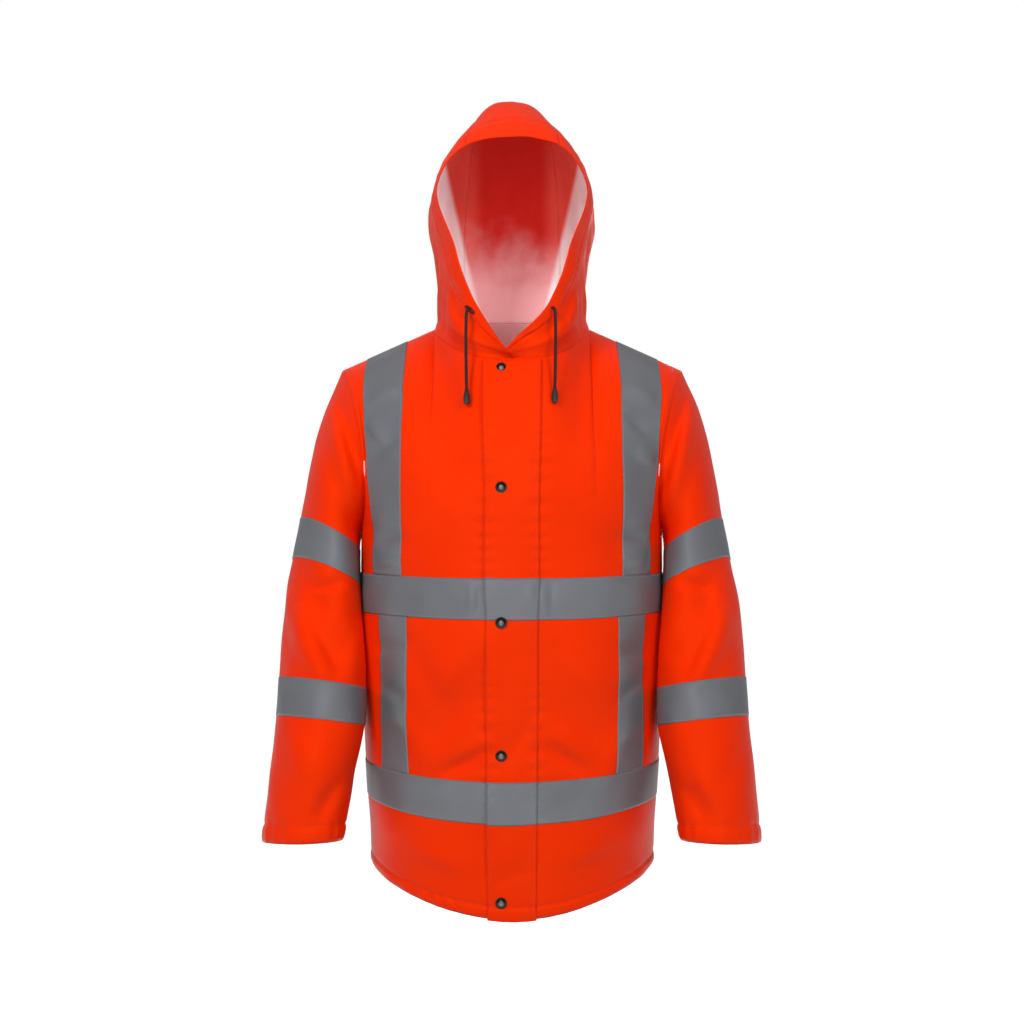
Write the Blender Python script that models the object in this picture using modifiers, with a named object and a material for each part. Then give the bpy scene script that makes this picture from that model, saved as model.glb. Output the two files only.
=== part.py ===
"""Hi-vis work jacket with its hood up, hollow and filled out as if worn.

Metres, +Z up, the front towards -Y. The origin is midway between the two points
where the shoulder seams meet the neck, where the wearer holds the jacket up.
Left and right are the wearer's: the right side is at -X.
"""

import math

import bpy
import numpy as np
from mathutils import Vector
from mathutils.bvhtree import BVHTree

OBJECT_NAME = "hi_vis_work_jacket"

# Walls and clearances
CLOTH = 0.0012            # thickness of the coated cloth
TAPE = 0.0010             # thickness of the reflective tape
GAP = 0.0003              # clearance between pieces that lie on each other
SEAM = 0.0003             # how far each piece's edge stays back from a seam line
FLAP_TOP_GAP = 0.002      # from the neck seam down to the storm flap's top edge

# Body of the jacket
CHEST = -0.255            # level of the underarm
ARMHOLE_RISE = 0.200      # levels from the underarm up to the shoulder seam
SQUARENESS = 2.4          # exponent of the body's sections, 2 is an ellipse
HEM_CURVE = 1.8           # how late along a section the hem and tapes rise
NECK_ACROSS = 28.0        # place across the body, in degrees, of the neck point
FLAP_ACROSS = 7.0         # place of the storm flap's edges
TAPE_ACROSS = (40.9, 60.5)  # edges of the upright tapes
LOW_TAPE_SHIFT = 0.93     # below the waist tape the upright tapes stand closer in
SHOULDER_DROP = 0.447     # fall of the shoulder seam for each metre across

# Levels that edge the tapes
HEM_LEVEL = -0.727
HEM_TAPE = (-0.613, -0.562)
WAIST_TAPE = (-0.367, -0.317)

# Sections of the body: level, half width, front depth, back depth, rise at the side
BODY_SECTIONS = (
    (-0.727, 0.180, 0.158, 0.150, 0.048),
    (-0.670, 0.181, 0.157, 0.149, 0.033),
    (-0.600, 0.185, 0.156, 0.147, 0.016),
    (-0.512, 0.190, 0.155, 0.145, 0.010),
    (-0.400, 0.193, 0.154, 0.142, 0.005),
    (-0.317, 0.193, 0.153, 0.141, 0.003),
    (-0.255, 0.192, 0.152, 0.140, 0.000),
)

# Above the underarm: place across, then how steeply a line of cloth leaves the chest
# and reaches the neck or shoulder seam. Each direction is out, towards the seam, up.
YOKE = (
    (0.0, (0.00, 0.00, 0.20), (0.00, 0.08, 0.19)),
    (21.0, (0.00, 0.00, 0.21), (0.00, 0.13, 0.14)),
    (28.0, (0.00, 0.00, 0.24), (0.00, 0.21, 0.07)),
    (40.9, (0.00, 0.00, 0.26), (0.00, 0.26, 0.03)),
    (60.5, (0.04, 0.00, 0.24), (-0.01, 0.26, 0.03)),
    (75.0, (-0.045, -0.18, 0.17), (0.02, 0.26, 0.03)),
    (90.0, (-0.08, -0.36, 0.10), (0.05, 0.26, 0.04)),
)

# Point that the cloth's outward direction is taken from: share of the distance from the
# middle, highest level, and how much lower it lies for each metre across
INNER_SHARE = 0.6
INNER_TOP = -0.12
INNER_SLOPE = 0.25

# Shoulder seam: place across, distance from the middle
SHOULDER_SEAM = ((28.0, 0.096), (40.9, 0.134), (60.5, 0.186), (90.0, 0.2187))

# Sleeve rings: place along, inner point, outer point, half depth, turn inwards, lean
SLEEVE_RINGS = (
    (0.00, (0.1920, 0.000, -0.255), (0.2187, 0.000, -0.055), 0.0775, 0.0, 0.00),
    (0.12, (0.1945, 0.000, -0.262), (0.2420, 0.000, -0.109), 0.0800, 2.0, 0.02),
    (0.22, (0.1955, 0.000, -0.270), (0.2560, -0.003, -0.159), 0.0800, 5.0, 0.06),
    (0.35, (0.1960, -0.008, -0.290), (0.2715, -0.010, -0.246), 0.0770, 10.0, 0.12),
    (0.45, (0.1940, -0.017, -0.336), (0.2800, -0.020, -0.2965), 0.0730, 13.0, 0.13),
    (0.60, (0.1875, -0.042, -0.400), (0.2885, -0.045, -0.375), 0.0670, 14.0, 0.14),
    (0.72, (0.1845, -0.062, -0.459), (0.2925, -0.065, -0.444), 0.0630, 12.0, 0.14),
    (0.80, (0.1845, -0.073, -0.504), (0.2950, -0.076, -0.491), 0.0600, 10.0, 0.14),
    (0.90, (0.1955, -0.087, -0.567), (0.2995, -0.089, -0.560), 0.0560, 8.0, 0.12),
    (1.00, (0.2070, -0.100, -0.640), (0.3055, -0.100, -0.643), 0.0515, 6.0, 0.08),
)
SLEEVE_TAPES = ((0.35, 0.45), (0.72, 0.80))
SLEEVE_CLEARANCE = 0.0036  # from the body's middle surface to the sleeve's
CLEAR_START = 0.004       # the clearance starts this far above the underarm
CLEAR_RUN = 0.012         # and is whole after this much further down
LEAST_REACH = 0.5         # nearer the middle than this, points aren't moved further out
CAP_END = 0.30            # place along where the sleeve's head has taken its own shape
SEAM_GAPS = (0.0006, 0.0010, 0.0012)  # at the shoulder, added a third round, added lower down
SEAM_GAP_END = 0.15       # place along where the gap at the armhole has closed

# Hood arches from the face opening back and down to the neck seam: place back, then
# points at the chin, jaw, cheek, temple, brow and crown
HOOD_PLACES = (0.0, 0.22, 0.45, 0.70, 0.87, 1.0)
HOOD_ARCHES = (
    (0.00, (0.000, -0.124, -0.036), (0.044, -0.119, 0.018), (0.070, -0.112, 0.088),
     (0.0925, -0.108, 0.165), (0.058, -0.121, 0.209), (0.000, -0.128, 0.223)),
    (0.12, (0.000, -0.124, -0.038), (0.056, -0.113, 0.008), (0.085, -0.093, 0.084),
     (0.0985, -0.078, 0.172), (0.055, -0.096, 0.237), (0.000, -0.103, 0.250)),
    (0.30, (0.000, -0.123, -0.041), (0.066, -0.107, -0.002), (0.0965, -0.058, 0.079),
     (0.1005, -0.020, 0.168), (0.047, -0.030, 0.272), (0.000, -0.035, 0.289)),
    (0.50, (0.000, -0.121, -0.043), (0.067, -0.106, -0.014), (0.0975, -0.034, 0.055),
     (0.1010, 0.038, 0.143), (0.051, 0.052, 0.258), (0.000, 0.055, 0.277)),
    (0.70, (0.000, -0.119, -0.0445), (0.062, -0.105, -0.024), (0.0945, -0.036, 0.026),
     (0.0970, 0.062, 0.085), (0.062, 0.105, 0.178), (0.000, 0.120, 0.197)),
    (0.87, (0.000, -0.117, -0.046), (0.054, -0.106, -0.035), (0.0870, -0.052, -0.003),
     (0.0965, 0.036, 0.034), (0.065, 0.098, 0.079), (0.000, 0.124, 0.090)),
    (1.00, (0.000, -0.115, -0.048), (0.045, -0.108, -0.045), (0.080, -0.068, -0.027),
     (0.0960, 0.000, 0.000), (0.060, 0.066, 0.0135), (0.000, 0.085, 0.016)),
)
CHIN_SHIFT = -0.007       # the hood's edges meet this far off the middle
CHIN_END = 0.22           # place up the hood's edge where that shift has gone
HOOD_LIFT = 0.0013        # the hood starts this far above the neck seam's line
HOOD_LIFT_START = 0.85    # place back where it begins to rise

# Largest folds: surface, start, end, height out of the cloth, half width.
# Places are across and level on the body, along and round on a sleeve.
BODY_FOLDS = (
    (-1, (-24, -0.560), (-52, -0.470), 0.0035, 0.020),
    (-1, (-22, -0.480), (-40, -0.400), -0.0030, 0.018),
    (-1, (26, -0.610), (48, -0.500), 0.0035, 0.020),
    (-1, (20, -0.250), (44, -0.300), -0.0030, 0.020),
    (-1, (-18, -0.230), (-44, -0.150), 0.0030, 0.022),
    (1, (-38, -0.080), (-22, -0.300), 0.0040, 0.020),
    (1, (36, -0.090), (24, -0.320), 0.0040, 0.020),
    (1, (-8, -0.420), (-26, -0.560), 0.0030, 0.020),
    (1, (30, -0.400), (16, -0.530), -0.0030, 0.020),
)
SLEEVE_FOLDS = (
    (-1, (0.48, 40), (0.62, 110), -0.0045, 0.020),
    (-1, (0.56, 20), (0.70, 70), 0.0045, 0.018),
    (1, (0.48, 50), (0.64, 120), -0.0045, 0.020),
    (1, (0.58, 25), (0.69, 80), 0.0040, 0.018),
    (-1, (0.24, -40), (0.33, -100), 0.0040, 0.018),
    (1, (0.22, -60), (0.34, -120), -0.0040, 0.018),
    (-1, (0.84, 60), (0.93, 130), 0.0030, 0.016),
    (1, (0.86, 30), (0.94, 100), -0.0030, 0.016),
)
BODY_GIRTH = 0.0033       # metres across the body for each degree
SLEEVE_LENGTH = 0.60      # along the outside, to give the folds their real width
SLEEVE_GIRTH = 0.0011     # metres round a sleeve for each degree
FOLD_TAPER = 1.6          # how soon a fold fades towards its ends

# Grid lines of the solids
BODY_LEVELS = (HEM_LEVEL, -0.670, HEM_TAPE[0], HEM_TAPE[1], -0.510, -0.460, -0.413,
               WAIST_TAPE[0], WAIST_TAPE[1], -0.286)
YOKE_ROWS = 9
FRONT_PLACES = (0, FLAP_ACROSS, 14, 21, NECK_ACROSS, 34.5, TAPE_ACROSS[0], 50.7,
                TAPE_ACROSS[1], 74, 90)
BACK_PLACES = (0, 6.07, 12.13, 20.07, NECK_ACROSS, 34.5, TAPE_ACROSS[0], 50.7,
               TAPE_ACROSS[1], 74, 90)
SLEEVE_ROWS = (0.0, 0.07, 0.15, 0.25, 0.35, 0.45, 0.51, 0.57, 0.64, 0.72, 0.80,
               0.87, 0.94, 1.0)
HOOD_ROWS = (0.0, 0.07, 0.14, 0.24, 0.34, 0.44, 0.54, 0.64, 0.75, 0.88, 1.0)
BROW_PLACE = 0.87         # seam between a side panel and the centre panel

# Fastenings
SNAP_X = -0.013
SNAP_LEVELS = (-0.061, -0.207, -0.370, -0.530, -0.706)
SNAP_RADIUS = 0.007
SNAP_HEIGHT = 0.0026
BUTTONHOLE_PLACE = (0.10, 0.225)  # back and place on the hood
BUTTONHOLE_SIZE = (0.015, 0.005)
BUTTONHOLE_WALL = 0.0010
BUTTONHOLE_TILT = 38.0    # degrees, the inner end lower
CORD_RADIUS = 0.0020
CORD_ROUTE = (            # from the buttonhole down over the chest, on the left side
    (0.0507, -0.1170, 0.0119),
    (0.0520, -0.1203, 0.0117),
    (0.0532, -0.1227, 0.0098),
    (0.0541, -0.1240, 0.0055),
    (0.0545, -0.1243, -0.0040),
    (0.0547, -0.1243, -0.0200),
    (0.0546, -0.1248, -0.0400),
    (0.0543, -0.1268, -0.0610),
    (0.0540, -0.1288, -0.0750),
    (0.0536, -0.1308, -0.0868),
)
CORD_SHIFTS = {           # of each cord's route, the right one's before it is mirrored
    "right": (0.0016, 0.0002, -0.0009),
    "left": (-0.0015, -0.0002, 0.0009),
}
CORD_POINTS = 16
CORD_END_LENGTH = 0.018
CORD_END_RADIUS = 0.0042


def material(name, rgb, roughness, metallic=0.0):
    """Principled material of one colour."""
    made = bpy.data.materials.new(name)
    made.use_nodes = True
    shader = made.node_tree.nodes["Principled BSDF"]
    shader.inputs["Base Color"].default_value = (*rgb, 1.0)
    shader.inputs["Roughness"].default_value = roughness
    shader.inputs["Metallic"].default_value = metallic
    return made


def through(stations, rows, places):
    """Smooth curve through a table's rows, read at places along its stations."""
    stations = np.asarray(stations, float)
    rows = np.asarray(rows, float)
    places = np.asarray(places, float)
    slopes = np.gradient(rows, stations, axis=0)
    index = np.clip(np.searchsorted(stations, places, side="right") - 1, 0, len(stations) - 2)
    step = stations[index + 1] - stations[index]
    part = (places - stations[index]) / step
    if rows.ndim > 1:
        step = step[..., None]
        part = part[..., None]
    blend = part * part * (3 - 2 * part)
    lean_in = part * (1 - part) ** 2 * step
    lean_out = -part * part * (1 - part) * step
    return ((1 - blend) * rows[index] + blend * rows[index + 1]
            + lean_in * slopes[index] + lean_out * slopes[index + 1])


def ease(value):
    """0 to 1 with soft ends."""
    value = np.clip(value, 0.0, 1.0)
    return value * value * (3 - 2 * value)


def fold_height(folds, face, u, v, u_scale, v_scale):
    """Sum of the soft ridges and troughs of one face at its places u and v."""
    total = np.zeros(np.broadcast(u, v).shape)
    for fold_face, start, end, height, width in folds:
        if fold_face != face:
            continue
        ax, ay = start[0] * u_scale, start[1] * v_scale
        bx, by = end[0] * u_scale - ax, end[1] * v_scale - ay
        px, py = u * u_scale - ax, v * v_scale - ay
        along = (px * bx + py * by) / (bx * bx + by * by)
        inside = np.clip(along, 0.0, 1.0)
        away = np.hypot(px - inside * bx, py - inside * by)
        taper = np.exp(-((inside - 0.5) * FOLD_TAPER) ** 2)
        total = total + height * taper * np.exp(-(away / width) ** 2)
    return total


def body_section(level):
    """Half width, front depth, back depth and side rise at a level."""
    table = np.array(BODY_SECTIONS)
    return np.moveaxis(through(table[:, 0], table[:, 1:], level), -1, 0)


def neck_line(place):
    """Neck seam from the chin, at 0, round one side to the centre back, at 1."""
    return through(HOOD_PLACES, HOOD_ARCHES[-1][1:], place)


def yoke_end(face, across):
    """Point of the neck or shoulder seam that a line of the body runs up to."""
    share = across / NECK_ACROSS
    crown_share = HOOD_PLACES[3]
    place = crown_share * share if face < 0 else 1 - (1 - crown_share) * share
    neck = neck_line(np.clip(place, 0.0, 1.0))
    seam = np.array(SHOULDER_SEAM)
    x = through(seam[:, 0], seam[:, 1], np.maximum(across, NECK_ACROSS))
    shoulder = np.stack([x, 0 * x, -SHOULDER_DROP * (x - SHOULDER_SEAM[0][1])], -1)
    return np.where((across < NECK_ACROSS)[..., None], neck, shoulder)


def body(face, across, level):
    """Points of the body: face -1 is the front and 1 the back, across -90 to 90."""
    across, level = np.broadcast_arrays(np.asarray(across, float), np.asarray(level, float))
    side = np.where(across < 0, -1.0, 1.0)
    shift = 1 - (1 - LOW_TAPE_SHIFT) * ease((WAIST_TAPE[1] - level) / (WAIST_TAPE[1] - WAIST_TAPE[0]))
    place = np.abs(across)
    shifted = place * np.where(place < TAPE_ACROSS[1], shift,
                               shift + (1 - shift) * (place - TAPE_ACROSS[1]) / (90 - TAPE_ACROSS[1]))
    angle = np.radians(shifted)
    half, front, back, rise = body_section(np.minimum(level, CHEST))
    out = np.sin(angle) ** (2 / SQUARENESS)
    depth = front if face < 0 else back
    low = np.stack([half * out,
                    face * depth * np.clip(np.cos(angle), 0, 1) ** (2 / SQUARENESS),
                    np.minimum(level, CHEST) + rise * out ** HEM_CURVE], -1)
    places = [row[0] for row in YOKE]
    start = through(places, [row[1] for row in YOKE], place)
    end = through(places, [row[2] for row in YOKE], place)
    for direction in (start, end):
        direction[..., 1] *= -face
    up = np.clip((level - CHEST) / ARMHOLE_RISE, 0.0, 1.0)[..., None]
    blend = up * up * (3 - 2 * up)
    points = ((1 - blend) * low + blend * yoke_end(face, place)
              + up * (1 - up) ** 2 * start - up * up * (1 - up) * end)
    points[..., 0] *= side
    inner_level = np.minimum(points[..., 2], INNER_TOP - INNER_SLOPE * np.abs(points[..., 0]))
    inner = np.stack([INNER_SHARE * points[..., 0], 0 * points[..., 1], inner_level], -1)
    outward = points - inner
    outward /= np.linalg.norm(outward, axis=-1, keepdims=True)
    height = fold_height(BODY_FOLDS, face, across, level, BODY_GIRTH, 1.0)
    return points + outward * height[..., None]


def armhole(around):
    """Loop that the left sleeve is sewn to: 0 is the shoulder, 90 the front, 180 the underarm."""
    level = CHEST + ARMHOLE_RISE * (1 - np.abs(around) / 180)
    front = body(-1, 90.0 + 0 * level, level)
    back = body(1, 90.0 + 0 * level, level)
    return np.where((around > 0)[..., None], front, back)


def clear_of_body(points, clearance):
    """Points moved straight out of the body where they would come too close to it."""
    half, front, back, _ = body_section(np.clip(points[..., 2], HEM_LEVEL, CHEST))
    depth = np.where(points[..., 1] < 0, front, back)
    reach = ((np.abs(points[..., 0]) / (half + clearance)) ** SQUARENESS
             + (np.abs(points[..., 1]) / (depth + clearance)) ** SQUARENESS) ** (1 / SQUARENESS)
    push = np.maximum(1.0, 1.0 / np.maximum(reach, LEAST_REACH))
    below = ease((CHEST + CLEAR_START - points[..., 2]) / CLEAR_RUN)
    push = 1 + (push - 1) * below
    moved = points.copy()
    moved[..., 0] *= push
    moved[..., 1] *= push
    return moved


def sleeve(side, along, around):
    """Points of a sleeve: along 0 to 1, around as the armhole, -180 to 180."""
    along, around = np.broadcast_arrays(np.asarray(along, float), np.asarray(around, float))
    stations = [row[0] for row in SLEEVE_RINGS]
    inner = through(stations, [row[1] for row in SLEEVE_RINGS], along)
    outer = through(stations, [row[2] for row in SLEEVE_RINGS], along)
    shape = through(stations, [row[3:] for row in SLEEVE_RINGS], along)
    depth, turn, lean = np.moveaxis(shape, -1, 0)
    angle = np.radians(around)
    middle = (inner + outer) / 2
    turn = np.radians(turn)
    forward = np.stack([-np.sin(turn), -np.cos(turn), lean], -1) * depth[..., None]
    ring = (middle + (outer - inner) / 2 * np.cos(angle)[..., None]
            + forward * np.sin(angle)[..., None])
    first = np.array(SLEEVE_RINGS[0][1]), np.array(SLEEVE_RINGS[0][2])
    plain = ((first[0] + first[1]) / 2 + (first[1] - first[0]) / 2 * np.cos(angle)[..., None]
             + np.array([0, -1, 0]) * SLEEVE_RINGS[0][3] * np.sin(angle)[..., None])
    fit = (1 - ease(along / CAP_END))[..., None]
    ring = ring + (armhole(around) - plain) * fit
    thirds = np.abs(around) / 60
    seam_gap = SEAM_GAPS[0] + SEAM_GAPS[1] * ease(thirds) + SEAM_GAPS[2] * ease(thirds - 2)
    ring[..., 0] += seam_gap * (1 - ease(along / SEAM_GAP_END))
    outward = ring - middle
    outward /= np.linalg.norm(outward, axis=-1, keepdims=True)
    height = fold_height(SLEEVE_FOLDS, side, along, around, SLEEVE_LENGTH, SLEEVE_GIRTH)
    ring = clear_of_body(ring + outward * height[..., None], SLEEVE_CLEARANCE)
    return ring * np.array([side, 1.0, 1.0])


def hood(back, around):
    """Points of the hood: back 0 at the face to 1 at the neck seam.

    Around is 0 at the crown, -1 at the chin from the right side and 1 from the left.
    """
    back, around = np.broadcast_arrays(np.asarray(back, float), np.asarray(around, float))
    place = 1 - np.abs(around)
    arches = np.array([row[1:] for row in HOOD_ARCHES])
    share_back = through([row[0] for row in HOOD_ARCHES], np.eye(len(HOOD_ARCHES)), back)
    share_round = through(HOOD_PLACES, np.eye(len(HOOD_PLACES)), place)
    points = np.einsum("...a,...k,akc->...c", share_back, share_round, arches)
    points[..., 0] *= np.where(around < 0, -1.0, 1.0)
    chin = 1 - ease(place / CHIN_END)
    points[..., 0] += CHIN_SHIFT * chin * (1 - back)
    points[..., 2] += HOOD_LIFT * ease((back - HOOD_LIFT_START) / (1 - HOOD_LIFT_START))
    return points


def grid_normals(grid, closed=False):
    """Outward unit normals of a grid whose columns run left to right seen from outside."""
    if closed:
        across = np.roll(grid, -1, 1) - np.roll(grid, 1, 1)
    else:
        across = np.gradient(grid, axis=1)
    along = np.gradient(grid, axis=0)
    normals = np.cross(across, along)
    return normals / np.linalg.norm(normals, axis=-1, keepdims=True)


def pull_back(grid, bottom=0.0, top=0.0, first=0.0, last=0.0):
    """Grid with its edges drawn in, along its own lines, by real distances."""
    made = grid.copy()

    def towards(edge, inner, distance):
        step = inner - edge
        length = np.linalg.norm(step, axis=-1, keepdims=True)
        return edge + step / np.maximum(length, 1e-9) * distance

    made[0] = towards(made[0], grid[1], bottom)
    made[-1] = towards(made[-1], grid[-2], top)
    made[:, 0] = towards(made[:, 0], made[:, 1], first)
    made[:, -1] = towards(made[:, -1], made[:, -2], last)
    return made


def link(name, mesh, finish):
    """Object of a mesh, in the jacket's collection."""
    mesh.materials.append(finish)
    made = bpy.data.objects.new(name, mesh)
    bpy.data.collections[OBJECT_NAME].objects.link(made)
    return made


def wall(name, grid, thickness, finish, closed=False, flip=False):
    """Cloth wall round a grid's surface, as an open sheet with Solidify."""
    rows, columns = grid.shape[:2]
    vertices = [tuple(point) for point in grid.reshape(-1, 3)]
    faces = []
    for i in range(rows - 1):
        for j in range(columns if closed else columns - 1):
            k = (j + 1) % columns
            face = (i * columns + j, i * columns + k, (i + 1) * columns + k, (i + 1) * columns + j)
            faces.append(face[::-1] if flip else face)
    mesh = bpy.data.meshes.new(name)
    mesh.from_pydata(vertices, [], faces)
    mesh.validate()
    mesh.update()
    mesh.shade_smooth()
    made = link(name, mesh, finish)
    solidify = made.modifiers.new("wall", "SOLIDIFY")
    solidify.thickness = thickness
    solidify.offset = 0.0
    solidify.use_even_offset = True
    return made


def strip(name, grid, normals, rows, columns, lift, finish):
    """Tape on part of a panel, made from the panel's own points moved out."""
    part = (slice(rows[0], rows[1] + 1), slice(columns[0], columns[1] + 1))
    moved = grid[part] + normals[part] * lift
    return wall(name, pull_back(moved, SEAM, SEAM, SEAM, SEAM), TAPE, finish)


def body_grid(face, places):
    """Grid of the whole front or back, from hem to neck and shoulder, x rising."""
    levels = list(BODY_LEVELS) + [CHEST + ARMHOLE_RISE * k / YOKE_ROWS for k in range(YOKE_ROWS + 1)]
    across = [-place for place in places[:0:-1]] + list(places)
    return body(face, np.array(across)[None, :], np.array(levels)[:, None])


def surface_front(x, z, radius, carriers):
    """Foremost y of some pieces under a disc centred at x and z."""
    foremost = 1.0
    for tree in carriers:
        for k in range(9):
            turn = math.tau * k / 8
            reach = 0.0 if k == 8 else radius
            place = Vector((x + reach * math.cos(turn), -0.5, z + reach * math.sin(turn)))
            hit = tree.ray_cast(place, Vector((0, 1, 0)))[0]
            if hit is not None:
                foremost = min(foremost, hit.y)
    return foremost


def finished_tree(piece):
    """Search tree of a piece with its modifiers."""
    graph = bpy.context.evaluated_depsgraph_get()
    mesh = piece.evaluated_get(graph).to_mesh()
    mesh.calc_loop_triangles()
    return BVHTree.FromPolygons([v.co for v in mesh.vertices],
                                [tuple(t.vertices) for t in mesh.loop_triangles])


def turned(name, profile, steps, finish):
    """Turned piece from a profile of radius and height, top to bottom."""
    mesh = bpy.data.meshes.new(name)
    mesh.from_pydata([(r, 0, z) for r, z in profile], [(k, k + 1) for k in range(len(profile) - 1)], [])
    made = link(name, mesh, finish)
    screw = made.modifiers.new("turn", "SCREW")
    screw.steps = steps
    screw.render_steps = steps
    screw.use_merge_vertices = True
    screw.merge_threshold = 0.0001
    screw.use_smooth_shade = True
    return made


def make_body(cloth, tape):
    """Fronts, back and storm flap, with the tapes on them."""
    front = body_grid(-1, FRONT_PLACES)
    back = body_grid(1, BACK_PLACES)
    front_out = grid_normals(front)
    back_out = -grid_normals(back)
    middle = len(FRONT_PLACES) - 1
    last_row = front.shape[0] - 1
    last_column = front.shape[1] - 1

    halves = {"right": (0, middle), "left": (middle, last_column)}
    for side, (first, last) in halves.items():
        part = front[:, first:last + 1]
        wall(f"front_{side}", pull_back(part, 0, SEAM, SEAM, SEAM), CLOTH, cloth)
    wall("back", pull_back(back, 0, SEAM, SEAM, SEAM), CLOTH, cloth, flip=True)

    flap_lift = CLOTH + GAP
    flap_columns = slice(middle - 1, middle + 2)
    flap = front[:, flap_columns] + front_out[:, flap_columns] * flap_lift
    flap_piece = wall("storm_flap", pull_back(flap, 0, FLAP_TOP_GAP, 0, 0), CLOTH, cloth)

    tape_lift = CLOTH / 2 + GAP + TAPE / 2
    hem = tuple(BODY_LEVELS.index(level) for level in HEM_TAPE)
    waist = tuple(BODY_LEVELS.index(level) for level in WAIST_TAPE)
    inner = FRONT_PLACES.index(TAPE_ACROSS[0])
    outer = FRONT_PLACES.index(TAPE_ACROSS[1])
    spans = {"right": (middle - outer, middle - inner), "left": (middle + inner, middle + outer)}
    carriers = [finished_tree(flap_piece)]
    for name, band in (("hem", hem), ("waist", waist)):
        strip(f"{name}_tape_front_right", front, front_out, band, (0, middle - 1), tape_lift, tape)
        strip(f"{name}_tape_front_left", front, front_out, band, (middle + 1, last_column),
              tape_lift, tape)
        on_flap = strip(f"{name}_tape_flap", flap, front_out[:, flap_columns], band, (0, 2),
                        tape_lift, tape)
        carriers.append(finished_tree(on_flap))
        moved = back[band[0]:band[1] + 1] + back_out[band[0]:band[1] + 1] * tape_lift
        wall(f"{name}_tape_back", pull_back(moved, SEAM, SEAM, SEAM, SEAM), TAPE, tape, flip=True)
    for side, span in spans.items():
        strip(f"low_tape_front_{side}", front, front_out, (hem[1], waist[0]), span, tape_lift, tape)
        part = (slice(hem[1], waist[0] + 1), slice(span[0], span[1] + 1))
        moved = back[part] + back_out[part] * tape_lift
        wall(f"low_tape_back_{side}", pull_back(moved, SEAM, SEAM, SEAM, SEAM), TAPE, tape, flip=True)
        shoulder_tape(side, front, back, front_out, back_out, span, (waist[1], last_row),
                      tape_lift, tape)
    return carriers


def shoulder_tape(side, front, back, front_out, back_out, span, rows, lift, tape):
    """One strip from the waist in front, over the shoulder, to the waist behind."""
    columns = slice(span[0], span[1] + 1)
    up = slice(rows[0], rows[1])
    crest = front_out[rows[1], columns] + back_out[rows[1], columns]
    crest /= np.linalg.norm(crest, axis=-1, keepdims=True)
    ridge = front[rows[1], columns] + crest * (lift + SEAM)
    rising = front[up, columns] + front_out[up, columns] * lift
    falling = (back[up, columns] + back_out[up, columns] * lift)[::-1]
    grid = np.concatenate([rising, ridge[None], falling])
    wall(f"shoulder_tape_{side}", pull_back(grid, SEAM, SEAM, SEAM, SEAM), TAPE, tape)


def make_sleeve(name, side, cloth, tape):
    """One sleeve and its two tapes."""
    places = [180 - 180 * k / YOKE_ROWS for k in range(2 * YOKE_ROWS)]
    around = np.array(places)[None, :]
    grid = sleeve(side, np.array(SLEEVE_ROWS)[:, None], around)
    grid = grid[:, ::-1] if side > 0 else grid
    wall(f"sleeve_{name}", grid, CLOTH, cloth, closed=True)
    out = grid_normals(grid, closed=True)
    lift = CLOTH / 2 + GAP + TAPE / 2
    for label, edges in zip(("upper", "lower"), SLEEVE_TAPES):
        first, last = (SLEEVE_ROWS.index(edge) for edge in edges)
        band = grid[first:last + 1] + out[first:last + 1] * lift
        wall(f"sleeve_tape_{label}_{name}", band, TAPE, tape, closed=True)


def make_hood(cloth):
    """Two side panels and the centre panel between them."""
    places = [FRONT_PLACES[k] / NECK_ACROSS * HOOD_PLACES[3] for k in range(5)]
    places += [1 - BACK_PLACES[k] / NECK_ACROSS * (1 - HOOD_PLACES[3]) for k in (3, 2, 1, 0)]
    half = [1 - place for place in places]
    seam = next(k for k, place in enumerate(places) if abs(place - BROW_PLACE) < 1e-3)
    around = [-value for value in half] + half[-2::-1]
    grid = hood(np.array(HOOD_ROWS)[:, None], np.array(around)[None, :])
    last = len(around) - 1
    panels = {"right": (0, seam), "centre": (seam, last - seam), "left": (last - seam, last)}
    for name, (first, end) in panels.items():
        part = pull_back(grid[:, first:end + 1], 0, 0, SEAM, SEAM)
        wall(f"hood_{name}", part, CLOTH, cloth, flip=True)


def make_snaps(carriers, metal):
    """Domed snap caps down the storm flap, their seats just clear of what they press on."""
    profile = ((0.0, SNAP_HEIGHT), (0.0030, SNAP_HEIGHT * 0.93), (0.0055, SNAP_HEIGHT * 0.68),
               (SNAP_RADIUS, SNAP_HEIGHT * 0.25), (SNAP_RADIUS, 0.0), (0.0, 0.0))
    for number, level in enumerate(SNAP_LEVELS, 1):
        cap = turned(f"snap_{number}", profile, 14, metal)
        seat = surface_front(SNAP_X, level, SNAP_RADIUS, carriers)
        cap.location = (SNAP_X, seat - GAP, level)
        cap.rotation_euler = (math.radians(90), 0, 0)


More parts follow.
